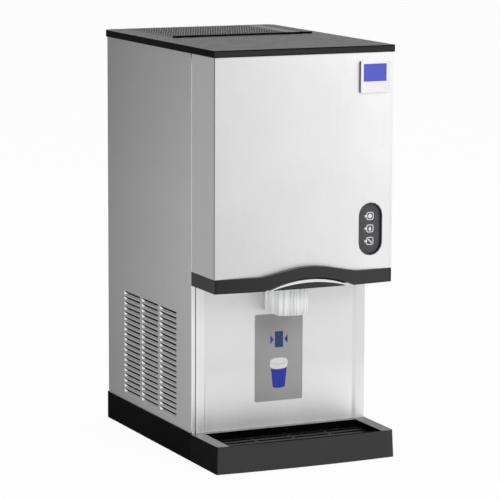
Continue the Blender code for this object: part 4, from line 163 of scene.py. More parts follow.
def soft_lamp(name, place, size, power):
    """Rectangular lamp, turned to the middle of the machine."""
    lamp = bpy.data.lights.new(name, "AREA")
    lamp.shape = "RECTANGLE"
    lamp.size, lamp.size_y = size
    lamp.energy = power
    holder = placed(name, lamp)
    holder.location = place
    holder.rotation_euler = (MIDDLE - Vector(place)).to_track_quat("-Z", "Y").to_euler()


soft_lamp("key softbox", (1.2, -3.6, 2.6), (2.4, 2.0), 60)
soft_lamp("top softbox", (0.2, 0.6, 3.4), (2.6, 2.6), 36)

# %% [markdown]
# The floor is a very wide disc. Most of what the camera sees of it is its own white, the rest is
# lit by the lamps, and that second share carries the shadow under the machine.

# %% Floor
FLOOR_RADIUS = 60
FLOOR_SIDES = 96
OWN_WHITE = 0.95
PAPER_WHITE = 0.92


def mesh_of(shape, name):
    """Mesh of a finished bmesh."""
    mesh = bpy.data.meshes.new(name)
    shape.to_mesh(mesh)
    shape.free()
    return mesh


disc = bmesh.new()
bmesh.ops.create_circle(disc, cap_ends=True, segments=FLOOR_SIDES, radius=FLOOR_RADIUS)
floor = placed("studio_floor", mesh_of(disc, "studio_floor"))

paper = bpy.data.materials.new("studio paper")
paper.use_nodes = True
tree = paper.node_tree
tree.nodes.clear()
own_share = maths(tree, "MULTIPLY", looked_at(tree, *EYE), OWN_WHITE)
lit = add_node(tree, "ShaderNodeBsdfDiffuse", {"Color": grey_share(PAPER_WHITE)})
own = add_node(tree, "ShaderNodeEmission", {"Color": grey_share(1)})
mix = add_node(tree, "ShaderNodeMixShader", {"Fac": own_share, 1: lit.outputs[0], 2: own.outputs[0]})
add_node(tree, "ShaderNodeOutputMaterial", {"Surface": mix.outputs[0]})
floor.data.materials.append(paper)
print("floor radius", FLOOR_RADIUS, "m")

# %% [markdown]
# ## Finishes
# Every finish starts from the piece's own coordinates, so that a pattern stays on its piece when
# the piece moves. A small bench of helpers keeps the recipes readable: one makes the shader, one
# lays a noise, one turns a noise into a colour between two tones, one into a bump.


# %% Bench for finishes
class Finish:
    """A Principled material under construction."""

    def __init__(self, name, metallic=0.0, **sockets):
        self.material = bpy.data.materials.new(name)
        self.material.use_nodes = True
        self.tree = self.material.node_tree
        self.shader = self.tree.nodes["Principled BSDF"]
        self.shader.inputs["Metallic"].default_value = metallic
        for socket, value in sockets.items():
            self.shader.inputs[socket.replace("_", " ")].default_value = value
        self.place = self.node("TexCoord").outputs["Object"]

    def node(self, kind, feeds=(), **values):
        return add_node(self.tree, "ShaderNode" + kind, feeds, **values)

    def stretched(self, scale):
        """Coordinates squeezed along each axis, for grain."""
        return self.node("Mapping", {"Vector": self.place, "Scale": scale}).outputs[0]

    def noise(self, scale, detail=3.0, where=None, rough=0.5):
        return self.node("TexNoise", {"Vector": where or self.place, "Scale": scale, "Detail": detail,
                                      "Roughness": rough}).outputs["Fac"]

    def spread(self, value, low, high, start=0.3, end=0.7):
        """A value between low and high."""
        return self.node("MapRange", {"Value": value, "From Min": start, "From Max": end,
                                      "To Min": low, "To Max": high}).outputs["Result"]

    def along(self, axis, start, end):
        """A share that runs from 0 to 1 along one axis of the piece."""
        return self.spread(self.node("SeparateXYZ", {0: self.place}).outputs[axis], 0, 1, start, end)

    def tones(self, value, dark, light, start=0.3, end=0.7):
        """A colour between two tones."""
        ramp = self.node("ValToRGB", {"Fac": value})
        for stop, position, colour in zip(ramp.color_ramp.elements, (start, end), (dark, light)):
            stop.position = position
            stop.color = colour
        return ramp.outputs["Color"]

    def over(self, share, under, top):
        """One colour laid over another by a share."""
        return self.node("Mix", {"Factor": share, 6: under, 7: top}, data_type="RGBA").outputs[2]

    def shaded(self, colour, value, low, high, start=0.3, end=0.7):
        """A colour dimmed to a share of itself, between low and high."""
        shade = self.tones(value, grey_share(low), grey_share(high), start, end)
        return self.node("Mix", {"Factor": 1, 6: colour, 7: shade}, data_type="RGBA",
                         blend_type="MULTIPLY").outputs[2]

    def done(self, colour, roughness, bumps, height):
        """The material with its colour, its roughness and a bump of this height."""
        bump = self.node("Bump", {"Strength": 1, "Distance": height, "Height": bumps})
        self.tree.links.new(colour, self.shader.inputs["Base Color"])
        self.tree.links.new(roughness, self.shader.inputs["Roughness"])
        self.tree.links.new(bump.outputs["Normal"], self.shader.inputs["Normal"])
        return self.material


def tone(colour, factor):
    """The same colour, lighter or darker."""
    return tuple(min(channel * factor, 1) for channel in colour[:3]) + (1,)


# %% [markdown]
# Brushed sheet has grain: thousands of scratches in one direction. A noise squeezed hard across
# the grain gives them, and it drives tone, roughness and a very low bump together. Broad soft
# clouds on top are the slight waviness and handling marks that real sheet has. Under it all lies
# painted light and shade: a slow run of tone from one edge of a panel to the other, as the studio
# lamps fall across it, and where given a panel painted darker towards its top or its foot.


# %% Brushed steel
SIDE_RUN = (1, 0.33, -0.22)
FRONT_RUN = (0, -0.20, 0.17)
GRAIN = (500, 500, 12)
FINE_GRAIN = (400, 400, 60)
STEEL_CLOUDS = 3.2
STEEL_MARKS = 26
CLOUD_SHADE = 0.95
MARK_SHADE = 0.97
SCRATCH_DEPTH = 0.00001
SWING = 0.05


def brushed(name, first, last, run, roughness, grain=GRAIN, contrast=0.04, rise=None, foot=None):
    """Steel whose tone runs from first to last along an axis of the piece, painted light and shade; rise
    and foot paint it darker towards its top or its foot.
    """
    steel = Finish(name, 1.0)
    scratches = steel.noise(1, 4, steel.stretched(grain), 0.6)
    clouds = steel.noise(STEEL_CLOUDS, 3)
    marks = steel.noise(STEEL_MARKS, 4, rough=0.65)
    tint = steel.shaded(steel.over(steel.along(*run), first, last), scratches, 1 - contrast, 1)
    for slope in (rise, foot):
        if slope:
            start, end, low, high = slope
            tint = steel.shaded(tint, steel.along(2, start, end), low, high, 0.0, 1.0)
    tint = steel.shaded(tint, clouds, CLOUD_SHADE, 1)
    tint = steel.shaded(tint, marks, 1, MARK_SHADE, 0.55, 0.75)
    rough = maths(steel.tree, "ADD", steel.spread(scratches, roughness - SWING, roughness + SWING),
                  steel.spread(clouds, -0.03, 0.04))
    return steel.done(tint, rough, scratches, SCRATCH_DEPTH)


# Painted light and shade: the side finish, used for all plain steel, and the wing and scoop finishes are
# one steel painted darker or lighter for how the lamps fall on them. The front finish is its lit copy,
# and the splash panel's bands and returns are painted lighter than the sheet between them.
shaded_side_steel = brushed("brushed side steel", grey(128), grey(169), SIDE_RUN, 0.42,
                     rise=(0.55, 0.88, 1, 0.80), foot=(0.05, 0.36, 0.90, 1))
shaded_wing_steel = brushed("brushed wing steel", grey(165), grey(167), SIDE_RUN, 0.42,
                     rise=(0.60, 0.88, 1, 0.93))
front_steel = brushed("brushed front steel", grey(203), grey(232), FRONT_RUN, 0.42, contrast=0.03)
shaded_splash_steel = brushed("satin splash steel", grey(248), grey(248), FRONT_RUN, 0.45, contrast=0.02,
                       rise=(0.06, 0.20, 1, 0.77))
lit_band_steel = brushed("satin band steel", grey(252), grey(237), FRONT_RUN, 0.45, contrast=0.02,
                     rise=(0.06, 0.20, 1, 0.82))
lit_scoop_steel = brushed("scoop steel with painted light", grey(150), grey(172), SIDE_RUN, 0.42)
highlight_steel = brushed("steel with painted highlight", grey(236), grey(238), FRONT_RUN, 0.42, contrast=0.03)
bright_steel = brushed("polished steel", grey(205), grey(210), FRONT_RUN, 0.22, FINE_GRAIN)

# %% [markdown]
# Moulded plastic copies its mould: a fine even grain, a faint unevenness of tone, and dust or
# polish from hands. The grain is a fine noise used as a bump of a few hundredths of a millimetre.
# Black plastic is the hard one: most of what the eye sees on it is the room in its gloss, so the
# colour under the gloss stays near black. The sides and recesses of a moulding take black finishes
# without shine, which are painted shade.


# %% Moulded plastic
PLASTIC_CLOUDS = 5
RUBBED_SPOTS = 38
UNEVEN = 0.12
FINE_SWING = 0.04
DUST_KEEPS = 0.7
DUST_ADDS = 0.012


def moulded(name, colour, roughness, shine=0.5, grain=900, depth=0.00006, dust=0.10, run=None):
    """Plastic with mould grain, uneven tone and dust, and a darker end, painted shade, where a run is
    given.
    """
    plastic = Finish(name, 0.0, Specular_IOR_Level=shine)
    texture = plastic.noise(grain, 2)
    clouds = plastic.noise(PLASTIC_CLOUDS, 4)
    rubbed = plastic.noise(RUBBED_SPOTS, 5, rough=0.7)
    dusty = tuple(DUST_KEEPS * channel + DUST_ADDS for channel in colour[:3]) + (1,)
    tint = plastic.tones(clouds, tone(colour, 1 - UNEVEN), tone(colour, 1 + UNEVEN))
    tint = plastic.over(plastic.spread(rubbed, 0, dust, 0.5, 0.8), tint, dusty)
    if run:
        axis, start, end, share = run
        tint = plastic.shaded(tint, plastic.along(axis, start, end), share, 1, 0.0, 1.0)
    rough = maths(plastic.tree, "ADD", plastic.spread(rubbed, -SWING, SWING),
                  plastic.spread(texture, roughness - FINE_SWING, roughness + FINE_SWING))
    return plastic.done(tint, rough, texture, depth)


def smooth_skin(name, colour, roughness, shine, depth=0.00002, dust=0.02, grain=1600):
    """Lacquer, film or ink: a moulded finish with hardly any grain."""
    return moulded(name, colour, roughness, shine, grain, depth, dust)


base_black = moulded("black base plastic", grey(27), 0.62, 0.0)
# Painted shade: near black for the sides of the cap, the tray, the badge and the pod, for the corner
# seams and for the splash panel's gap.
painted_shade_black = moulded("black plastic with painted side shade", grey(33), 0.62, 0.0)
cap_grey = moulded("charcoal cap plastic", grey(40), 0.45, 0.15)
# Painted shade: near black for the intake lip, the walls of its holes and its groove, the cap's finger
# notches and the lines along the top and foot of the cap's front.
deep_shade_black = moulded("black plastic with painted deep shade", grey(16), 0.55, 0.0)
grille_grey = moulded("slate grille plastic", seen(66, 67, 68), 0.45, 0.24)
tray_black = moulded("black tray plastic", grey(35), 0.36, 0.40)
# Painted light: a lighter grey for the upward rims of the tray.
lit_rim_black = moulded("rim plastic with painted light", grey(52), 0.36, 0.45)
# The drip grille's black plastic, which in the tray's well is painted shade as well.
well_black_and_shade = moulded("black well plastic with painted shade", grey(9), 0.25, 0.012)
# Painted shade: the run darkens the front trim towards its left end.
trim_grey = moulded("charcoal trim plastic", grey(54), 0.44, 0.22, run=(0, -0.19, 0.12, 0.45))
# Painted shade: the side trims are the trim plastic painted darker.
shaded_trim_dark = moulded("trim plastic with painted shade", grey(42), 0.50, 0.10)
white_plastic = moulded("white plastic", grey(226), 0.35, dust=0.04)
pod_grey = moulded("grey pod plastic", seen(78, 78, 82), 0.45, 0.25)
silver_lacquer = smooth_skin("silver lacquer", seen(226, 228, 230), 0.26, 0.6, dust=0.03)
label_film = smooth_skin("grey label film", seen(168, 168, 168), 0.46, 0.3, dust=0.03, grain=2200)
sensor_black = smooth_skin("infrared window", seen(44, 66, 118), 0.20, 0.3, 0.00001, grain=300)
badge_white = smooth_skin("white badge plastic", seen(242, 242, 246), 0.28, 0.4)
badge_blue = smooth_skin("blue badge enamel", seen(86, 92, 200), 0.30, 0.3)
print_blue = smooth_skin("blue printed ink", seen(48, 58, 170), 0.42, 0.25, 0.00001)
print_white = smooth_skin("white printed ink", grey(236), 0.42, 0.3, 0.00001)
foam_white = moulded("insulation skin", seen(226, 225, 218), 0.55, 0.4, 300, 0.0002, 0.06)
motor_black = moulded("black enamel", grey(24), 0.34, 0.3, 260, 0.0001, 0.06)

# %% [markdown]
# The nozzle and the tubes are clear plastic. Transmission lets the pale splash panel show through,
# a little roughness blurs it, and the flutes in its mesh break what is behind into upright streaks.
# Upright streaks painted into its colour add to them, a painted reflection. The nozzle also has a
# faint glow though it is no lamp: painted light that brightens it.


# %% Clear plastic
CLEAR_IOR = 1.16
NOZZLE_PAINTED_GLOW = 0.12
FROST = 140
STREAK_GRAIN = (190, 190, 3)
STREAK_LIGHT = 1.03
FROST_DEPTH = 0.00002


def clear(name, colour, roughness, transmission, streak=0.96, glow=0.0):
    """Clear plastic with frost, painted upright streaks and, where given, a glow that is painted light.
    """
    plastic = Finish(name, 0.0, Transmission_Weight=transmission, IOR=CLEAR_IOR,
                     Emission_Color=colour, Emission_Strength=glow)
    frost = plastic.noise(FROST, 4)
    clouds = plastic.noise(1, 2, plastic.stretched(STREAK_GRAIN))
    tint = plastic.tones(clouds, tone(colour, streak), tone(colour, STREAK_LIGHT), 0.38, 0.54)
    rough = plastic.spread(frost, roughness - SWING, roughness + SWING)
    return plastic.done(tint, rough, frost, FROST_DEPTH)


nozzle_clear = clear("clear ribbed plastic", seen(254, 255, 255), 0.10, 0.28, 0.62, NOZZLE_PAINTED_GLOW)
hose_clear = clear("clear hose", seen(225, 228, 226), 0.25, 0.6)

# %% [markdown]
# Zinc coated sheet shows spangle, the crystals that zinc freezes into. A cell pattern gives each
# crystal its own tone and shine. Drawn metals carry lines along the tube and dull spots of tarnish.


# %% Zinc, copper, brass and aluminium
SPANGLE = 70
ZINC_HAZE = 12
TARNISH_SPOTS = 60
TUBE_GRAIN = (40, 600, 600)
HAZE_DEPTH = 0.00005
LINE_DEPTH = 0.00002


def zinc(name, colour):
    """Sheet with spangle and a light haze."""
    sheet = Finish(name, 0.9)
    cells = sheet.node("TexVoronoi", {"Vector": sheet.place, "Scale": SPANGLE}).outputs["Color"]
    crystal = sheet.node("SeparateColor", {0: cells}).outputs
    haze = sheet.noise(ZINC_HAZE, 4)
    tint = sheet.tones(crystal[0], tone(colour, 0.84), tone(colour, 1.10), 0.0, 1.0)
    tint = sheet.over(sheet.spread(haze, 0, 0.4), tint, tone(colour, 0.92))
    return sheet.done(tint, sheet.spread(crystal[1], 0.34, 0.52, 0.0, 1.0), haze, HAZE_DEPTH)


def drawn(name, colour, roughness, tarnish):
    """Drawn metal with dull spots."""
    metal = Finish(name, 1.0)
    spots = metal.noise(TARNISH_SPOTS, 5, rough=0.65)
    lines = metal.noise(1, 3, metal.stretched(TUBE_GRAIN))
    tint = metal.over(metal.spread(spots, 0, 0.55, 0.45, 0.75), colour, tarnish)
    return metal.done(tint, metal.spread(spots, roughness - 0.06, roughness + 0.12), lines, LINE_DEPTH)


zinc_sheet = zinc("zinc coated sheet", seen(176, 180, 182))
copper = drawn("drawn copper", seen(196, 130, 98), 0.30, seen(128, 78, 58))
brass = drawn("turned brass", seen(206, 172, 96), 0.28, seen(150, 118, 62))
aluminium = drawn("mill aluminium", seen(202, 204, 206), 0.38, seen(168, 170, 172))

# %% [markdown]
# Each solid of the machine now takes its finish. The table says what every slot of the record is
# made of, and the loop dresses all the solids, also those that only show with a lid lifted.

# %% Dress the solids
FINISHES = {
    "steel": shaded_side_steel, "front_steel": front_steel, "bright_steel": bright_steel,
    "black_plastic": base_black, "cap_plastic": cap_grey, "grille_plastic": grille_grey,
    "tray_plastic": tray_black, "trim_plastic": trim_grey, "white_plastic": white_plastic,
    "silver_plastic": silver_lacquer, "label_grey": label_film, "sensor_blue": sensor_black,
    "badge_white": badge_white, "pod_grey": pod_grey, "clear_plastic": hose_clear,
    "galvanised": zinc_sheet, "foam_white": foam_white, "copper": copper, "brass": brass,
    "aluminium": aluminium, "motor_black": motor_black,
}
OWN_FINISH = {
    "splash_panel": shaded_splash_steel, "left_hood_wing": shaded_wing_steel, "right_hood_wing": shaded_wing_steel,
    "left_side_trim": shaded_trim_dark, "right_side_trim": shaded_trim_dark, "drip_grille": well_black_and_shade,
}
slot_of = {entry["node"]: entry["material_slot"] for entry in frame["record"]["subparts"]}

for name, solid in nodes.items():
    solid.data.materials.clear()
    solid.data.materials.append(OWN_FINISH.get(name, FINISHES[slot_of[name]]))
print("dressed", len(nodes), "solids with", len(FINISHES) + len(OWN_FINISH), "finishes")

# %% [markdown]
# ## Pieces
# A piece made here is filed the same way each time: its mesh gets its finishes, its object sits at
# the origin, and it rides on the body that carries it. A piece may stand for a solid, which is
# then hidden but still does its work in the physics.

# %% Bench for pieces
ROUND_EDGE = 40
SIDES = ((-1, "left"), (1, "right"))


def make_piece(name, mesh, finishes, body="cabinet", stands_for=()):
    """File one piece: its finishes, its body and the solids it stands for."""
    for finish in finishes:
        mesh.materials.append(finish)
    made = placed(name, mesh)
    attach(made, body)
    if stands_for:
        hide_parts(*stands_for)
    print(name, "has", len(mesh.polygons), "faces")


def closed_mesh(shape, name, smooth_below=0):
    """Mesh of a finished bmesh, with its faces turned outwards and only soft edges smoothed."""
    bmesh.ops.recalc_face_normals(shape, faces=shape.faces)
    if smooth_below:
        limit = math.radians(smooth_below)
        for face in shape.faces:
            face.smooth = True
        for edge in shape.edges:
            edge.smooth = edge.calc_face_angle(math.pi) < limit
    return mesh_of(shape, name)


def box_of(node):
    """Lowest and highest corner of a solid."""
    low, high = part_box(node)
    return Vector(low), Vector(high)


def cut(shape, place, direction):
    """New edges where a plane crosses the shape."""
    bmesh.ops.bisect_plane(shape, geom=shape.verts[:] + shape.edges[:] + shape.faces[:],
                           plane_co=place, plane_no=direction)


# %% Outlines and the bodies between them
def arc(middle, radius, start, end, steps):
    """Points on a round, between two angles counted in quarter turns."""
    turns = [math.pi / 2 * (start + (end - start) * step / steps) for step in range(steps + 1)]
    return [(middle[0] + radius * math.cos(turn), middle[1] + radius * math.sin(turn)) for turn in turns]


def rectangle(left, low, right, high):
    """Four corners, counterclockwise."""
    return [(left, low), (right, low), (right, high), (left, high)]


def rounded(centre, width, height, radius, steps=5):
    """Rounded rectangle, counterclockwise."""
    points = []
    for quarter in range(4):
        across = 1 if quarter in (0, 3) else -1
        up = 1 if quarter < 2 else -1
        middle = (centre[0] + across * (width / 2 - radius), centre[1] + up * (height / 2 - radius))
        points += arc(middle, radius, quarter, quarter + 1, steps)
    return points


def bridge(shape, loops, first=0):
    """Quads between each loop and the next. An open line starts at 1."""
    for one, two in zip(loops, loops[1:]):
        for index in range(first, len(one)):
            shape.faces.new((one[index - 1], one[index], two[index], two[index - 1]))


def add_bar(shape, near, far):
    """Closed body between two outlines of the same count."""
    ends = [[shape.verts.new(point) for point in outline] for outline in (near, far)]
    shape.faces.new(ends[0])
    shape.faces.new(ends[1][::-1])
    bridge(shape, ends)


def add_slab(shape, outline, near, far):
    """Flat outline in X and Z, given its thickness between two depths."""
    add_bar(shape, [(x, near, z) for x, z in outline], [(x, far, z) for x, z in outline])


def add_ring(shape, outer, inner, near, far):
    """Frame between two outlines of the same count."""
    loops = [[shape.verts.new((x, depth, z)) for x, z in outline]
             for outline, depth in ((outer, near), (inner, near), (inner, far), (outer, far))]
    bridge(shape, loops + loops[:1])


def flat_piece(name, finish, near, far, outlines, frames=()):
    """One flat piece: frames between two outlines, then filled outlines."""
    shape = bmesh.new()
    for outer, inner in frames:
        add_ring(shape, outer, inner, near, far)
    for outline in outlines:
        add_slab(shape, outline, near, far)
    make_piece(name, closed_mesh(shape, name), [finish])


def lay_sheet(rows, side=1, windows=()):
    """Quads between rows of points, facing outwards on either side; windows have openings."""
    shape = bmesh.new()
    grid = [[shape.verts.new(point) for point in row] for row in rows]
    faces = []
    for across, (one, two) in enumerate(zip(grid, grid[1:])):
        for up in range(len(one) - 1):
            if across in windows and up % 2 == 1:
                continue
            corners = (one[up], two[up], two[up + 1], one[up + 1])
            faces.append((across, shape.faces.new(corners if side > 0 else corners[::-1])))
    return shape, faces


# %% [markdown]
# ## Mouldings with light and shade painted by direction
# The cap, the tray, the badge and the control pod are each one moulding, but their faces don't
# look alike: the faces that hands touch are smoother, and the light and shade on them are painted.
# Sides, recesses and edges in shade take a near black finish, painted shade, and the tray's upward
# rims a lighter one, painted light. A welded copy of the solid keeps its exact shape, it is cut
# along the lines where its finish changes, and each face takes its finish by the way it points.


# %% Copies with a finish for each side
WELD = 0.00001
FLAT = 0.998
FACING = 0.5
UPWARDS = 0.7
SAME_PLANE = math.radians(1)
MOULDED_EDGE = 35
RIGHTWARDS, BACKWARDS, UP = Vector((1, 0, 0)), Vector((0, 1, 0)), Vector((0, 0, 1))


def moulded_copy(name, node, finishes, choose, cuts=()):
    """Welded copy of a solid, cut along the planes where its finish changes."""
    shape = bmesh.new()
    shape.from_mesh(nodes[node].data)
    bmesh.ops.remove_doubles(shape, verts=shape.verts, dist=WELD)
    bmesh.ops.dissolve_limit(shape, angle_limit=SAME_PLANE, verts=shape.verts, edges=shape.edges)
    for place, direction in cuts:
        cut(shape, place, direction)
    for face in shape.faces:
        face.material_index = choose(face.normal, face.calc_center_median())
    bmesh.ops.triangulate(shape, faces=[face for face in shape.faces if len(face.verts) > 4])
    mesh = closed_mesh(shape, name, MOULDED_EDGE)
    for face in mesh.polygons:
        if max(abs(part) for part in face.normal) > FLAT:
            face.use_smooth = False
    make_piece(name, mesh, finishes, stands_for=[node])


# %% Cap
# Heights of the painted shade lines along the top and foot of the cap's front.
CAP_LINE = 0.0022
CAP_FOOT_LINE = CAP_LINE * 0.7
NOTCH_SKIN = 0.00003
NOTCH_ZONE = 0.1
NOT_BELOW = -0.1
cap_low, cap_high = box_of("top_cover")


def cap_side(normal, place):
    """Painted shade on the sides and the back, in the finger notches and as lines along the front's two
    edges.
    """
    if abs(normal.x) > FACING or normal.y > FACING:
        return 1
    in_zone = place.z < cap_high.z - NOTCH_SKIN and place.y > cap_low.y + NOTCH_ZONE
    middle = cap_low.z + CAP_FOOT_LINE < place.z < cap_high.z - CAP_LINE
    return 2 if (in_zone and normal.z > NOT_BELOW) or (normal.y < -FACING and not middle) else 0


moulded_copy("cap", "top_cover", [cap_grey, painted_shade_black, deep_shade_black], cap_side,
             [(cap_high - UP * CAP_LINE, UP), (cap_low + UP * CAP_FOOT_LINE, UP)])

# %% Drip tray with painted shade in its well
WELL_REACH = 0.002
TRAY_SKIN = 0.001
tray_top = box_of("drip_tray")[1].z
grille_low, grille_high = box_of("drip_grille")


def tray_side(normal, place):
    """Painted shade on the sides, in the well and on the front rim's top; painted light on the other rim
    tops; the plain finish elsewhere.
    """
    inside = place.z < tray_top - TRAY_SKIN and abs(place.x) < grille_high.x + WELL_REACH
    if inside and grille_low.y - WELL_REACH < place.y < grille_high.y + WELL_REACH:
        return 2
    if normal.z > UPWARDS:
        return 1 if place.y < grille_low.y + TRAY_SKIN and abs(place.x) < grille_high.x else 3
    return 1 if abs(normal.x) > FACING else 0


moulded_copy("tray", "drip_tray", [tray_black, painted_shade_black, well_black_and_shade, lit_rim_black], tray_side,
             [(grille_low, BACKWARDS), (grille_low, RIGHTWARDS), (grille_high, RIGHTWARDS)])

# %% Badge body and control pod
BADGE_SKIN = 0.0038
badge_low, badge_high = box_of("badge")


def badge_side(normal, place):
    """White skin in front and over the edges, painted shade on the back part of the left side."""
    return 1 if normal.x < -FACING and place.y > badge_low.y + BADGE_SKIN else 0


def pod_side(normal, place):
    """Grey in front, painted shade on its sides all round."""
    return 0 if normal.y < -FACING else 1


moulded_copy("badge_body", "badge", [badge_white, painted_shade_black], badge_side,
             [(badge_low + BACKWARDS * BADGE_SKIN, BACKWARDS)])
moulded_copy("pod_body", "control_pod", [pod_grey, painted_shade_black], pod_side)

# %% [markdown]
# ## Louvred side panels
# Each side panel is one bent sheet. Three columns of twenty slots are sheared in it, and below each
# slot the metal is drawn inwards as a scoop, so that air gets in and fingers don't. The scoop could
# be cut as a wedge, but a real punch leaves round ends that catch the light. So one scoop is shaped
# with care, and Geometry Nodes set it sixty times, at the pitch of the punch. The light on the
# scoops, on their rear ends and on the sheet's front return is painted highlight.

# %% Sizes of the louvres
PANEL_LOW, PANEL_HIGH = box_of("left_side_panel")
HALF_WIDTH = -PANEL_LOW.x
PANEL_FRONT = PANEL_LOW.y
PANEL_BACK = PANEL_HIGH.y
PANEL_WALL = 0.00072
FRONT_RETURN = 0.0095
REAR_RETURN = 0.012
FRONT_BEND = 0.0015
FRONT_STEPS = 4
REAR_BEND = 0.019
REAR_STEPS = 6
LIT_STRIPS = 3
COLUMNS = 3
ROWS = 20
LOUVRE_FIRST = PANEL_FRONT + 0.0799
COLUMN_PITCH = 0.1024
ROW_PITCH = 0.01174
LOUVRE_TOP = 0.3114
LOUVRE_LENGTH = 0.0919
LOUVRE_SLOT = 0.0056
LOUVRE_BLADE = 0.0046
LOUVRE_DEPTH = 0.0046
LOUVRE_END = 0.013
LIT_END = LOUVRE_END * 0.7
LIT_HEIGHT = LOUVRE_BLADE + LOUVRE_SLOT * 0.6


# %% Recipe that sets one shape in rows and columns
class Recipe:
    """A Geometry Nodes tree under construction, with named inputs."""

    def __init__(self, name, **inputs):
        self.tree = bpy.data.node_groups.new(name, "GeometryNodeTree")
        self.tree.interface.new_socket("Geometry", in_out="OUTPUT", socket_type="NodeSocketGeometry")
        for label, kind in inputs.items():
            self.tree.interface.new_socket(label, in_out="INPUT", socket_type="NodeSocket" + kind)
        self.given = self.tree.nodes.new("NodeGroupInput").outputs
        self.result = self.tree.nodes.new("NodeGroupOutput")

    def node(self, kind, feeds=(), **values):
        """Outputs of a new node. Vector nodes are shared with the shaders."""
        prefix = "ShaderNode" if kind in ("VectorMath", "CombineXYZ") else "GeometryNode"
        return add_node(self.tree, prefix + kind, feeds, **values).outputs

    def close(self, geometry):
        """Real faces, no instances, and the finish: the last two steps of every recipe."""
        real = self.node("RealizeInstances", {"Geometry": geometry})["Geometry"]
        real = self.node("SetMaterial", {"Geometry": real, "Material": self.given["Finish"]})["Geometry"]
        self.tree.links.new(real, self.result.inputs["Geometry"])


def evaluated(carrier, name):
    """Plain mesh of what an object's modifiers make; the object itself is taken away."""
    graph = bpy.context.evaluated_depsgraph_get()
    mesh = bpy.data.meshes.new_from_object(carrier.evaluated_get(graph))
    mesh.name = name
    bpy.data.objects.remove(carrier)
    return mesh


def baked(recipe, name, **settings):
    """Plain mesh of what a recipe makes with these settings."""
    carrier = placed(name + "_carrier", bpy.data.meshes.new(name + "_carrier"))
    modifier = carrier.modifiers.new("recipe", "NODES")
    modifier.node_group = recipe.tree
    for item in recipe.tree.interface.items_tree:
        if item.in_out == "INPUT":
            modifier[item.identifier] = settings[item.name]
    return evaluated(carrier, name)


def thickened(mesh, name, thickness):
    """Mesh given a wall on its inner side."""
    carrier = placed(name + "_carrier", mesh)
    wall = carrier.modifiers.new("wall", "SOLIDIFY")
    wall.thickness = thickness
    wall.offset = -1
    return evaluated(carrier, name)


lattice = Recipe("rows and columns", Shape="Object", Columns="Int", Column_Step="Vector",
                 Rows="Int", Row_Step="Vector", First="Vector", Finish="Material")
given = lattice.given
column_line = lattice.node("MeshLine", {
    "Count": given["Columns"], "Start Location": given["First"], "Offset": given["Column_Step"]},
    mode="OFFSET")["Mesh"]
row_line = lattice.node("MeshLine", {"Count": given["Rows"], "Offset": given["Row_Step"]},
                        mode="OFFSET")["Mesh"]
places = lattice.node("InstanceOnPoints", {"Points": column_line, "Instance": row_line})["Instances"]
places = lattice.node("RealizeInstances", {"Geometry": places})["Geometry"]
one_shape = lattice.node("ObjectInfo", {"Object": given["Shape"]})["Geometry"]
lattice.close(lattice.node("InstanceOnPoints", {"Points": places, "Instance": one_shape})["Instances"])
print("recipe", lattice.tree.name, "has", len(lattice.tree.nodes), "nodes")


# %% One scoop
def scoop_mesh(side, lengths=22, heights=4):
    """Sheet drawn inwards below a slot; its ends rise round to the panel's face."""
    rows = []
    half = LOUVRE_LENGTH / 2
    for step in range(lengths + 1):
        along = -half * math.cos(math.pi * step / lengths)
        beyond = max(0, (abs(along) - (half - LOUVRE_END)) / LOUVRE_END)
        swell = math.sqrt(max(0, 1 - beyond ** 2))
        top = LOUVRE_BLADE + LOUVRE_SLOT * (1 - swell)
        line = []
        for rise in range(heights + 1):
            share = rise / heights
            depth = LOUVRE_DEPTH * swell * math.sin(share * math.pi / 2)
            line.append((side * (HALF_WIDTH - depth), along, share * top - LOUVRE_BLADE - LOUVRE_SLOT))
        rows.append(line)
    shape, faces = lay_sheet(rows, side)
    for _, face in faces:
        face.smooth = True
    return mesh_of(shape, "scoop")


# %% The bent sheet around the scoops
def panel_mesh(side, name):
    """Bent sheet with a front and a rear return and a window for each louvre."""
    plan = [(HALF_WIDTH - FRONT_RETURN, PANEL_FRONT)]
    bends = set(range(1, 1 + FRONT_STEPS))
    plan += arc((HALF_WIDTH - FRONT_BEND, PANEL_FRONT + FRONT_BEND), FRONT_BEND, -1, 0, FRONT_STEPS)
    windows = []
    for column in range(COLUMNS):
        near = LOUVRE_FIRST + column * COLUMN_PITCH
        windows.append(len(plan))
        plan += [(HALF_WIDTH, near), (HALF_WIDTH, near + LOUVRE_LENGTH)]
    bends.update(range(len(plan), len(plan) + REAR_STEPS))
    plan += arc((HALF_WIDTH - REAR_BEND, PANEL_BACK - REAR_BEND), REAR_BEND, 0, 1, REAR_STEPS)
    plan.append((HALF_WIDTH - REAR_BEND - REAR_RETURN, PANEL_BACK))
    heights = [PANEL_LOW.z]
    for row in reversed(range(ROWS)):
        top = LOUVRE_TOP - row * ROW_PITCH
        heights += [top - LOUVRE_SLOT - LOUVRE_BLADE, top]
    heights.append(PANEL_HIGH.z)
    shape, faces = lay_sheet([[(side * x, y, z) for z in heights] for x, y in plan], side, windows)
    for across, face in faces:
        face.smooth = across in bends
        # Painted highlight: the front return and part of its bend take the lighter highlight steel.
        face.material_index = 1 if across < LIT_STRIPS else 0
    return mesh_of(shape, name)


def joined(name, *meshes):
    """Several meshes as one, each keeping its place."""
    shape = bmesh.new()
    for mesh in meshes:
        shape.from_mesh(mesh)
    return mesh_of(shape, name)


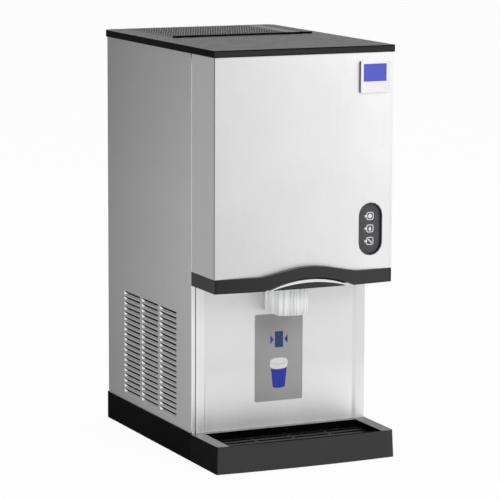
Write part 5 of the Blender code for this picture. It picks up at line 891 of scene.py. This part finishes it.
for side, side_name in SIDES:
    one_scoop = bpy.data.objects.new("scoop", scoop_mesh(side))
    scoops = baked(lattice, side_name + "_scoops", Shape=one_scoop, Columns=COLUMNS,
                   Column_Step=(0, COLUMN_PITCH, 0), Rows=ROWS, Row_Step=(0, 0, -ROW_PITCH),
                   First=(0, LOUVRE_FIRST + LOUVRE_LENGTH / 2, LOUVRE_TOP), Finish=shaded_side_steel)
    bpy.data.objects.remove(one_scoop)
    for face in scoops.polygons:
        along = (face.center.y - LOUVRE_FIRST) % COLUMN_PITCH
        below = (LOUVRE_TOP - face.center.z) % ROW_PITCH
        # Painted highlight on the rear ends of the scoops; the rest of each scoop is painted lighter
        # than the sheet.
        face.material_index = 1 if along > LOUVRE_LENGTH - LIT_END and below < LIT_HEIGHT else 2
    sheet = joined(side_name, panel_mesh(side, side_name), scoops)
    panel = thickened(sheet, side_name + "_louvred_panel", PANEL_WALL)
    make_piece(side_name + "_louvred_panel", panel, [shaded_side_steel, highlight_steel, lit_scoop_steel],
               stands_for=[side_name + "_side_panel"])

# %% [markdown]
# ## Corner seams
# Where the hood's wings meet the front panel, the wing is tucked behind the panel's edge. From the
# left that seam is a fine black line along the corner, from the front only the bright folded edge
# shows. The seam's shade is painted: a line painted on the steel would shine like the steel, so a
# soft black half-round bar is laid in the seam as painted shade, and the folded edge lies over it.

# %% Painted seam shade and folded edges at the hood's front corners
SEAM_SHADE_WIDTH = 0.0026
SEAM_SHADE_PROUD = 0.0004
SEAM_SHADE_SUNK = 0.0001
SEAM_SHADE_BACK = 0.0012
FOLD_LAP = 0.0004
FOLD_INSIDE = 0.0002
FOLD_PROUD = 0.0003
FOLD_BACK = 0.0009
FOOT_CLEARANCE = 0.0004
CAP_CLEARANCE = 0.0006
front_low, front_high = box_of("front_panel")
SEAM_FOOT = box_of("left_hood_wing")[0].z + FOOT_CLEARANCE
SEAM_TOP = cap_low.z - CAP_CLEARANCE


def seam_shade_mesh(side, name, steps=6):
    """Half round bar of painted seam shade that lies on the wing just behind the corner."""
    section = [(side * (HALF_WIDTH - SEAM_SHADE_SUNK + SEAM_SHADE_PROUD * math.sin(math.pi * step / steps)),
                front_low.y + SEAM_SHADE_BACK + SEAM_SHADE_WIDTH / 2 * (1 - math.cos(math.pi * step / steps)))
               for step in range(steps + 1)]
    shape = bmesh.new()
    add_bar(shape, *[[(x, y, z) for x, y in section] for z in (SEAM_FOOT, SEAM_TOP)])
    return closed_mesh(shape, name, ROUND_EDGE)


for side, side_name in SIDES:
    seam_shade_name = side_name + "_corner_bead"
    make_piece(seam_shade_name, seam_shade_mesh(side, seam_shade_name), [painted_shade_black])
    inner, outer = sorted((side * (front_high.x - FOLD_LAP), side * (HALF_WIDTH - FOLD_INSIDE)))
    flat_piece(side_name + "_folded_edge", front_steel, front_low.y - FOLD_PROUD,
               front_low.y + FOLD_BACK, [rectangle(inner, SEAM_FOOT, outer, SEAM_TOP)])

# %% [markdown]
# ## Splash panel
# The recess's back is one sheet with a raised band along each side. On the left it stands beside
# the cabinet's folded return, on the right it laps over it, and the bands are what stiffens it.
# The gap on the left is painted shade, a thin black strip, and the returns and bands are painted
# lighter than the sheet between them. Its plan is one bent line, so it is drawn as that line,
# drawn up to its height and given a wall.

# %% Bent splash sheet
SPLASH_LOW, SPLASH_HIGH = box_of("splash_panel")
SPLASH_RIGHT = HALF_WIDTH - FOLD_INSIDE
SPLASH_WALL = 0.0005
SPLASH_RETURN = 0.006
SPLASH_CORNER = 0.0012
SPLASH_BAND = 0.0205
SPLASH_STEP = 0.0010
SPLASH_LAP = 0.0010
LEFT_SLOPE = 0.0030
RIGHT_SLOPE = 0.0080
GAP_SHADE_OUT = 0.0011
GAP_SHADE_IN = 0.0003
GAP_SHADE_PROUD = 0.0008
GAP_SHADE_BACK = 0.0004


def splash_mesh():
    """Bent line of the splash panel, swept upwards."""
    left, front, _ = SPLASH_LOW
    middle = front + SPLASH_STEP
    lap = front - SPLASH_LAP
    band_end = SPLASH_RIGHT - SPLASH_BAND
    line = [(left, front + SPLASH_RETURN, 1), (left, front + SPLASH_CORNER, 1),
            (left + SPLASH_CORNER / 3, front + SPLASH_CORNER / 3, 1), (left + SPLASH_CORNER, front, 1),
            (left + SPLASH_BAND, front, 1), (left + SPLASH_BAND + LEFT_SLOPE, middle, 0),
            (band_end - RIGHT_SLOPE, middle, 0), (band_end, lap, 1), (SPLASH_RIGHT, lap, 1)]
    shape, faces = lay_sheet([[(x, y, z) for z in (SPLASH_LOW.z, SPLASH_HIGH.z)] for x, y, _ in line])
    for across, face in faces:
        # Painted light: the returns and the bands take the lighter band steel.
        face.material_index = max(line[across][2], line[across + 1][2])
    return mesh_of(shape, "splash_sheet")


# Painted shade: a thin black strip in the gap beside the left return.
flat_piece("splash_gap_seal", painted_shade_black, SPLASH_LOW.y - GAP_SHADE_PROUD,
           SPLASH_LOW.y + GAP_SHADE_BACK,
           [rectangle(SPLASH_LOW.x - GAP_SHADE_OUT, SPLASH_LOW.z, SPLASH_LOW.x + GAP_SHADE_IN, SPLASH_HIGH.z)])
make_piece("splash_sheet", thickened(splash_mesh(), "splash_sheet", SPLASH_WALL),
           [shaded_splash_steel, lit_band_steel], stands_for=["splash_panel"])

# %% [markdown]
# ## Air intake
# The panel in the cap lifts out. It is a flat plate with a field of upright holes, a solid strip
# with a groove on the right and a raised lip in front that fingers catch, and a narrow gap runs
# round it. The walls of the holes, the groove, the plate's edges in the gap and the lip are painted
# near black, painted shade. The holes stand like bricks: every other row is shifted by half a hole.
# One cell is drawn, a plate with a six-sided hole through it, the same recipe of rows and columns
# lays the field, and the rim is drawn out from the field's edge.

# %% Perforated intake plate
PLATE_LOW, PLATE_HIGH = box_of("intake_grille")
PLATE_SUNK = 0.0002
PLATE_TOP = cap_high.z - PLATE_SUNK
PLATE_GAP = 0.0030
FIELD_RIM = 0.0045
RIGHT_RIM = 0.042
GROOVE = 0.0032
GROOVE_DEPTH = 0.0012
GROOVE_MARGIN = 0.0010
CELL_WIDTH = 0.0060
CELL_DEPTH = 0.00674
HOLE_RADIUS = 0.0027
LIP_DEPTH = 0.0080
LIP_ROUND = 0.0011
LIP_STEPS = 4
LIP_INSET = 0.0004
LIP_MARGIN = 0.002
STEEP = 0.3
FIELD_LEFT = PLATE_LOW.x + FIELD_RIM
FIELD_FRONT = PLATE_LOW.y + LIP_DEPTH + LIP_MARGIN
FIELD_COLUMNS = int((PLATE_HIGH.x - RIGHT_RIM - FIELD_LEFT) / CELL_WIDTH)
FIELD_ROWS = int((PLATE_HIGH.y - FIELD_RIM - FIELD_FRONT) / CELL_DEPTH / 2) * 2
FIELD_WIDTH = FIELD_COLUMNS * CELL_WIDTH
GROOVE_LEFT = FIELD_LEFT + FIELD_WIDTH + GROOVE_MARGIN


def cell_mesh(name, width, hole=True):
    """One cell of the field: a frame with a six-sided hole through it, or a plain end."""
    shape = bmesh.new()
    half, deep = width / 2, CELL_DEPTH / 2
    corners = [(0, -deep), (-half, -deep), (-half, deep), (0, deep), (half, deep), (half, -deep)]
    around = [(HOLE_RADIUS * math.sin(math.pi * step / 3), HOLE_RADIUS * math.cos(math.pi * step / 3))
              for step in range(6)]
    walls = []
    for z in (PLATE_TOP, PLATE_LOW.z):
        line = [shape.verts.new((x, y, z)) for x, y in corners if hole or x]
        if hole:
            ring = [shape.verts.new((x, y, z)) for x, y in around]
            shape.faces.new(line[:4] + [ring[0], ring[5], ring[4], ring[3]])
            shape.faces.new(line[3:] + [line[0], ring[3], ring[2], ring[1], ring[0]])
            walls.append(ring)
        else:
            shape.faces.new(line)
    bridge(shape, walls)
    return mesh_of(shape, name)


def laid(name, mesh, columns, column_step, first):
    """Every other row of the field, laid with one cell. Its first place is counted in cells."""
    cell = bpy.data.objects.new(name, mesh)
    rows = baked(lattice, name, Shape=cell, Columns=columns, Column_Step=(column_step, 0, 0),
                 Rows=FIELD_ROWS // 2, Row_Step=(0, 2 * CELL_DEPTH, 0), Finish=grille_grey,
                 First=(FIELD_LEFT + first[0] * CELL_WIDTH, FIELD_FRONT + first[1] * CELL_DEPTH, 0))
    bpy.data.objects.remove(cell)
    return rows


def moved_verts(result):
    """New verts of an extrusion."""
    return [part for part in result["geom"] if isinstance(part, bmesh.types.BMVert)]


plate_shape = bmesh.new()
for mesh in (laid("odd_rows", cell_mesh("cell", CELL_WIDTH), FIELD_COLUMNS, CELL_WIDTH, (1 / 2, 1 / 2)),
             laid("even_rows", cell_mesh("cell", CELL_WIDTH), FIELD_COLUMNS - 1, CELL_WIDTH, (1, 3 / 2)),
             laid("row_ends", cell_mesh("row_end", CELL_WIDTH / 2, False), 2,
                  FIELD_WIDTH - CELL_WIDTH / 2, (1 / 4, 3 / 2))):
    plate_shape.from_mesh(mesh)
bmesh.ops.remove_doubles(plate_shape, verts=plate_shape.verts, dist=WELD)

# %% Rim around the field
half_field = (FIELD_WIDTH / 2, FIELD_ROWS * CELL_DEPTH / 2)
field_middle = (FIELD_LEFT + half_field[0], FIELD_FRONT + half_field[1])
plate_edge = {-1: (PLATE_LOW.x + PLATE_GAP, PLATE_LOW.y + LIP_INSET),
              1: (PLATE_HIGH.x - PLATE_GAP, PLATE_HIGH.y - PLATE_GAP)}
open_edges = [edge for edge in plate_shape.edges if edge.is_boundary]
for vert in moved_verts(bmesh.ops.extrude_edge_only(plate_shape, edges=open_edges)):
    for axis in (0, 1):
        away = vert.co[axis] - field_middle[axis]
        if abs(away) > half_field[axis] - WELD:
            vert.co[axis] = plate_edge[1 if away > 0 else -1][axis]
rim_edges = [edge for edge in plate_shape.edges
             if edge.is_boundary and edge.verts[0].co.z > PLATE_LOW.z + WELD]
for vert in moved_verts(bmesh.ops.extrude_edge_only(plate_shape, edges=rim_edges)):
    vert.co.z = PLATE_LOW.z
bmesh.ops.remove_doubles(plate_shape, verts=plate_shape.verts, dist=WELD)

# %% Groove right of the field
for x in (GROOVE_LEFT, GROOVE_LEFT + GROOVE):
    cut(plate_shape, (x, 0, 0), RIGHTWARDS)


def in_groove(face):
    """Whether a face lies between the groove's two sides."""
    return GROOVE_LEFT < face.calc_center_median().x < GROOVE_LEFT + GROOVE


bottom = [face for face in plate_shape.faces
          if in_groove(face) and min(vert.co.z for vert in face.verts) > PLATE_TOP - WELD]
sunk = bmesh.ops.extrude_face_region(plate_shape, geom=bottom)
bmesh.ops.delete(plate_shape, geom=bottom, context="FACES_ONLY")
for vert in moved_verts(sunk):
    vert.co.z -= GROOVE_DEPTH
print("open edges of the plate:", len([edge for edge in plate_shape.edges if edge.is_boundary]))
bmesh.ops.recalc_face_normals(plate_shape, faces=plate_shape.faces)
# Painted shade: steep walls, the plate's edges and the groove take the near black finish.
for face in plate_shape.faces:
    face.material_index = 1 if abs(face.normal.z) < STEEP or in_groove(face) else 0
make_piece("intake_plate", closed_mesh(plate_shape, "intake_plate"), [grille_grey, deep_shade_black],
           "intake_grille", ["intake_grille"])
print("holes:", FIELD_COLUMNS, "by", FIELD_ROWS)


# %% The raised lip
def lip_mesh():
    """Bar along the plate's front edge, rounded along both its upper edges."""
    foot = PLATE_LOW.z + LIP_INSET
    back = PLATE_LOW.y + LIP_DEPTH
    level = PLATE_HIGH.z - LIP_ROUND
    section = ([(PLATE_LOW.y, foot)]
               + arc((PLATE_LOW.y + LIP_ROUND, level), LIP_ROUND, 2, 1, LIP_STEPS)
               + arc((back - LIP_ROUND, level), LIP_ROUND, 1, 0, LIP_STEPS) + [(back, foot)])
    shape = bmesh.new()
    add_bar(shape, *[[(x, y, z) for y, z in section]
                     for x in (PLATE_LOW.x + LIP_INSET, PLATE_HIGH.x - LIP_INSET)])
    return closed_mesh(shape, "intake_lip", ROUND_EDGE)


# The lip is painted near black, painted shade.
make_piece("intake_lip", lip_mesh(), [deep_shade_black], "intake_grille")

# %% [markdown]
# ## Nozzle
# The nozzle is a clear sleeve with upright flutes, blunt in front and open against the splash
# panel. It could be modelled flute by flute, but the shape follows a rule: a path pushed in and out
# as it goes round. So the path is a curve, and Geometry Nodes resample it, push each point along
# the curve's own normal by a wave, and draw the wall down from it. A solidify gives the wall.

# %% Path of the nozzle's wall
NOZZLE_LOW, NOZZLE_HIGH = box_of("nozzle")
FLANGE_RIM = 0.004
FLANGE_STEP = 0.001
FLANGE_THICK = 0.0026
FOOT_GAP = 0.0002
NOZZLE_RADIUS = NOZZLE_HIGH.x - FLANGE_RIM
NOZZLE_FRONT = NOZZLE_LOW.y + FLANGE_RIM
NOZZLE_BACK = NOZZLE_HIGH.y - FLANGE_STEP
NOZZLE_CORNER = 0.017
NOZZLE_BOW = 0.004
CORNER_STEPS = 8
BOW_STEPS = 6
FLUTES = 20
FLUTE_POINTS = 10
FLUTE_DEPTH = 0.0013
WALL = 0.0020


def blunt_path(half, front, back, corner):
    """Plan of the nozzle: straight sides, round corners and a slightly bowed front."""
    flat = half - corner
    level = front + NOZZLE_BOW + corner
    points = [(half, back)] + arc((flat, level), corner, 0, -1, CORNER_STEPS)
    for step in range(1, 2 * BOW_STEPS):
        x = flat * (1 - step / BOW_STEPS)
        points.append((x, front + NOZZLE_BOW * (x / flat) ** 2))
    return points + arc((-flat, level), corner, 3, 2, CORNER_STEPS) + [(-half, back)]


def path_curve():
    """The wall's middle line as a curve."""
    data = bpy.data.curves.new("nozzle path", "CURVE")
    data.dimensions = "3D"
    spline = data.splines.new("POLY")
    points = blunt_path(NOZZLE_RADIUS - FLUTE_DEPTH, NOZZLE_FRONT + FLUTE_DEPTH, NOZZLE_BACK,
                        NOZZLE_CORNER)
    spline.points.add(len(points) - 1)
    for point, (x, y) in zip(spline.points, points):
        point.co = (x, y, 0, 1)
    return bpy.data.objects.new("nozzle path", data)


# %% Recipe for a fluted wall
fluted = Recipe("fluted wall", Path="Object", Points="Int", Waves="Float", Depth="Float",
                Height="Float", Top="Float", Finish="Material")


def product(value, other):
    """Two values of the recipe multiplied."""
    return maths(fluted.tree, "MULTIPLY", value, other)


given = fluted.given
way = fluted.node("ObjectInfo", {"Object": given["Path"]})["Geometry"]
way = fluted.node("ResampleCurve", {"Curve": way, "Count": given["Points"]})["Curve"]
turns = product(fluted.node("SplineParameter")["Factor"], given["Waves"])
wave = maths(fluted.tree, "COSINE", product(turns, math.tau))
tangent = fluted.node("InputTangent")["Tangent"]
outwards = fluted.node("VectorMath", {0: tangent, 1: (0, 0, 1)}, operation="CROSS_PRODUCT")[0]
push = fluted.node("VectorMath", {0: outwards, "Scale": product(wave, given["Depth"])},
                   operation="SCALE")[0]
way = fluted.node("SetPosition", {"Geometry": way, "Offset": push})["Geometry"]
lift = fluted.node("CombineXYZ", {"Z": given["Top"]})[0]
way = fluted.node("Transform", {"Geometry": way, "Translation": lift})["Geometry"]
edge = fluted.node("CurveToMesh", {"Curve": way})["Mesh"]
down = fluted.node("CombineXYZ", {"Z": product(given["Height"], -1.0)})[0]
fluted.close(fluted.node("ExtrudeMesh", {"Mesh": edge, "Offset": down, "Offset Scale": 1.0},
                         mode="EDGES")["Mesh"])

nozzle_path = path_curve()
skin = baked(fluted, "nozzle_skin", Path=nozzle_path, Points=FLUTES * FLUTE_POINTS + 1,
             Waves=float(FLUTES), Depth=FLUTE_DEPTH, Top=NOZZLE_HIGH.z - FLANGE_THICK,
             Height=NOZZLE_HIGH.z - NOZZLE_LOW.z - FLANGE_THICK - FOOT_GAP, Finish=nozzle_clear)
bpy.data.objects.remove(nozzle_path)
shape = bmesh.new()
shape.from_mesh(skin)
shape.faces.ensure_lookup_table()
from_middle = shape.faces[0].calc_center_median() - Vector((0, NOZZLE_BACK, 0))
if shape.faces[0].normal.dot(from_middle) < 0:
    bmesh.ops.reverse_faces(shape, faces=shape.faces)
for face in shape.faces:
    face.smooth = True
sleeve = thickened(mesh_of(shape, "nozzle_skin"), "nozzle_sleeve", WALL)


# %% Flange of the nozzle
def flange_mesh():
    """Flat collar that holds the sleeve under the hood's floor."""
    shape = bmesh.new()
    inside = WALL + FLANGE_STEP
    outer = blunt_path(NOZZLE_HIGH.x, NOZZLE_LOW.y, NOZZLE_HIGH.y, NOZZLE_CORNER + FLANGE_RIM)
    inner = blunt_path(NOZZLE_RADIUS - inside, NOZZLE_FRONT + inside, NOZZLE_HIGH.y,
                       NOZZLE_CORNER - WALL)
    low, high = NOZZLE_HIGH.z - FLANGE_THICK, NOZZLE_HIGH.z
    loops = [[shape.verts.new((x, y, z)) for x, y in outline]
             for outline, z in ((outer, low), (outer, high), (inner, high), (inner, low))]
    bridge(shape, loops + loops[:1], first=1)
    for end in (0, -1):
        shape.faces.new([loop[end] for loop in loops])
    return closed_mesh(shape, "nozzle_flange", ROUND_EDGE)


nozzle_mesh = joined("ribbed_nozzle", sleeve, flange_mesh())
make_piece("ribbed_nozzle", nozzle_mesh, [nozzle_clear], stands_for=["nozzle"])

# %% [markdown]
# ## Printing
# The badge keeps a plain blue field. The pod carries three framed symbols with a lamp beside each,
# and the label shows where to hold the cup: two arrows towards the sensor and a cup below it.
# Every mark is a thin film of its own, a tenth of a millimetre high, as screen printing is.

# %% Plain field of the badge
FILM = 0.00012
BADGE_FIELD = (0.0540, 0.0372)
BADGE_FIELD_CORNER = 0.0006
BADGE_FIELD_LEFT = 0.0053
BADGE_FIELD_TOP = 0.0055
BADGE_FACE = 0.0005
BADGE_FIELD_FOOT = 0.0006


field_centre = (badge_low.x + BADGE_FIELD_LEFT + BADGE_FIELD[0] / 2,
                badge_high.z - BADGE_FIELD_TOP - BADGE_FIELD[1] / 2)
flat_piece("badge_field", badge_blue, badge_low.y + BADGE_FACE - FILM,
           badge_low.y + BADGE_FIELD_FOOT, [rounded(field_centre, *BADGE_FIELD, BADGE_FIELD_CORNER)])

# %% Symbols on the control pod
SYMBOL_PITCH = 0.02685
SYMBOL_SIZE = 0.0168
SYMBOL_CORNER = 0.0042
SYMBOL_SHIFT = 0.0016
OVERLAY_SUNK = 0.0006
FRAME_LINE = 0.0017
FRAME_CORNER = 0.0027
overlay_low, overlay_high = box_of("control_overlay")
POD_X = (overlay_low.x + overlay_high.x) / 2 + SYMBOL_SHIFT
POD_Z = (overlay_low.z + overlay_high.z) / 2
OVERLAY_FACE = overlay_low.y + OVERLAY_SUNK
ICE_CUBE = [(0, 0.0050), (-0.0044, 0.0025), (-0.0044, -0.0025), (0, -0.0050), (0.0044, -0.0025),
            (0.0044, 0.0025)]
DROP = [(0, 0.0056), (-0.0014, 0.0028), (-0.0028, 0.0004), (-0.0032, -0.0018), (-0.0024, -0.0040),
        (0, -0.0050), (0.0024, -0.0040), (0.0032, -0.0018), (0.0028, 0.0004), (0.0014, 0.0028)]
SPANNER = [(-0.0052, 0.0032), (-0.0032, 0.0052), (0.0002, 0.0020), (0.0034, -0.0008), (0.0054, -0.0030),
           (0.0034, -0.0050), (0.0012, -0.0026), (-0.0020, 0.0004)]

centres = [(POD_X, POD_Z + row * SYMBOL_PITCH) for row in (-1, 0, 1)]
flat_piece("pod_symbols", print_white, OVERLAY_FACE - FILM, OVERLAY_FACE + FILM,
           [[(middle[0] + x, middle[1] + z) for x, z in symbol]
            for middle, symbol in zip(centres[::-1], (ICE_CUBE, DROP, SPANNER))],
           [(rounded(middle, SYMBOL_SIZE, SYMBOL_SIZE, SYMBOL_CORNER),
             rounded(middle, SYMBOL_SIZE - 2 * FRAME_LINE, SYMBOL_SIZE - 2 * FRAME_LINE, FRAME_CORNER))
            for middle in centres])

# %% Lamp lenses beside the symbols
LAMP_LEFT = 0.0104
LAMP_RADIUS = 0.0029
LAMP_HEIGHT = 0.0013
LAMP_EDGE = 50


def add_dome(shape, centre, radius, back, height, rings=4, around=16):
    """Low round lens, its pole closed by one fan."""
    loops = []
    for ring in range(rings):
        turn = math.pi / 2 * ring / rings
        reach = radius * math.cos(turn)
        loops.append([shape.verts.new((centre[0] + reach * math.cos(math.tau * step / around),
                                       back - height * math.sin(turn),
                                       centre[1] + reach * math.sin(math.tau * step / around)))
                      for step in range(around)])
    bridge(shape, loops)
    pole = shape.verts.new((centre[0], back - height, centre[1]))
    for index in range(around):
        shape.faces.new((loops[-1][index - 1], loops[-1][index], pole))
    shape.faces.new(loops[0])


shape = bmesh.new()
for x, z in centres:
    add_dome(shape, (x - LAMP_LEFT, z), LAMP_RADIUS, OVERLAY_FACE, LAMP_HEIGHT)
make_piece("pod_lamps", closed_mesh(shape, "pod_lamps", LAMP_EDGE), [print_white])

# %% Arrows beside the sensor
ARROW_TIP = 0.0128
ARROW_TAIL = 0.0205
ARROW_HALF = 0.0100
LABEL_FACE = box_of("splash_label")[0].y
window_low, window_high = box_of("sensor_window")
sensor_middle = (window_low.z + window_high.z) / 2
arrow = [(-ARROW_TIP, sensor_middle), (-ARROW_TAIL, sensor_middle + ARROW_HALF),
         (-ARROW_TAIL, sensor_middle - ARROW_HALF)]
flat_piece("label_arrows", print_blue, LABEL_FACE - FILM, LABEL_FACE + FILM,
           [arrow, [(-x, z) for x, z in arrow[::-1]]])

# %% Cup below the sensor
# Each mark lies between two curved lines, given by half their width, their height and their sag,
# and it stands out of the label and reaches into it by a number of films.
CUP_MARKS = [
    ("cup_lid_mark", print_white, "white_plastic",
     (0.0205, 0.1907, 0.0052), (0.0212, 0.2025, -0.0078), 1, 1),
    ("cup_mark", print_blue, "sensor_blue",
     (0.0146, 0.1475, 0.0040), (0.0190, 0.1895, 0.0052), 1, 1),
    ("cup_rim_mark", label_film, "label_grey",
     (0.0204, 0.2021, 0.0068), (0.0200, 0.2021, 0.0058), 1.4, -0.5),
]


def cup_line(half, middle, sag, count=14):
    """Curved line of a cup's rim, left to right, sagging in the middle."""
    return [(half * (2 * step / count - 1), middle - sag * math.sqrt(1 - (2 * step / count - 1) ** 2))
            for step in range(count + 1)]


for name, ink, slot, low_line, high_line, out, into in CUP_MARKS:
    flat_piece(name, ink, LABEL_FACE - out * FILM, LABEL_FACE + into * FILM,
               [cup_line(*low_line) + cup_line(*high_line)[::-1]])
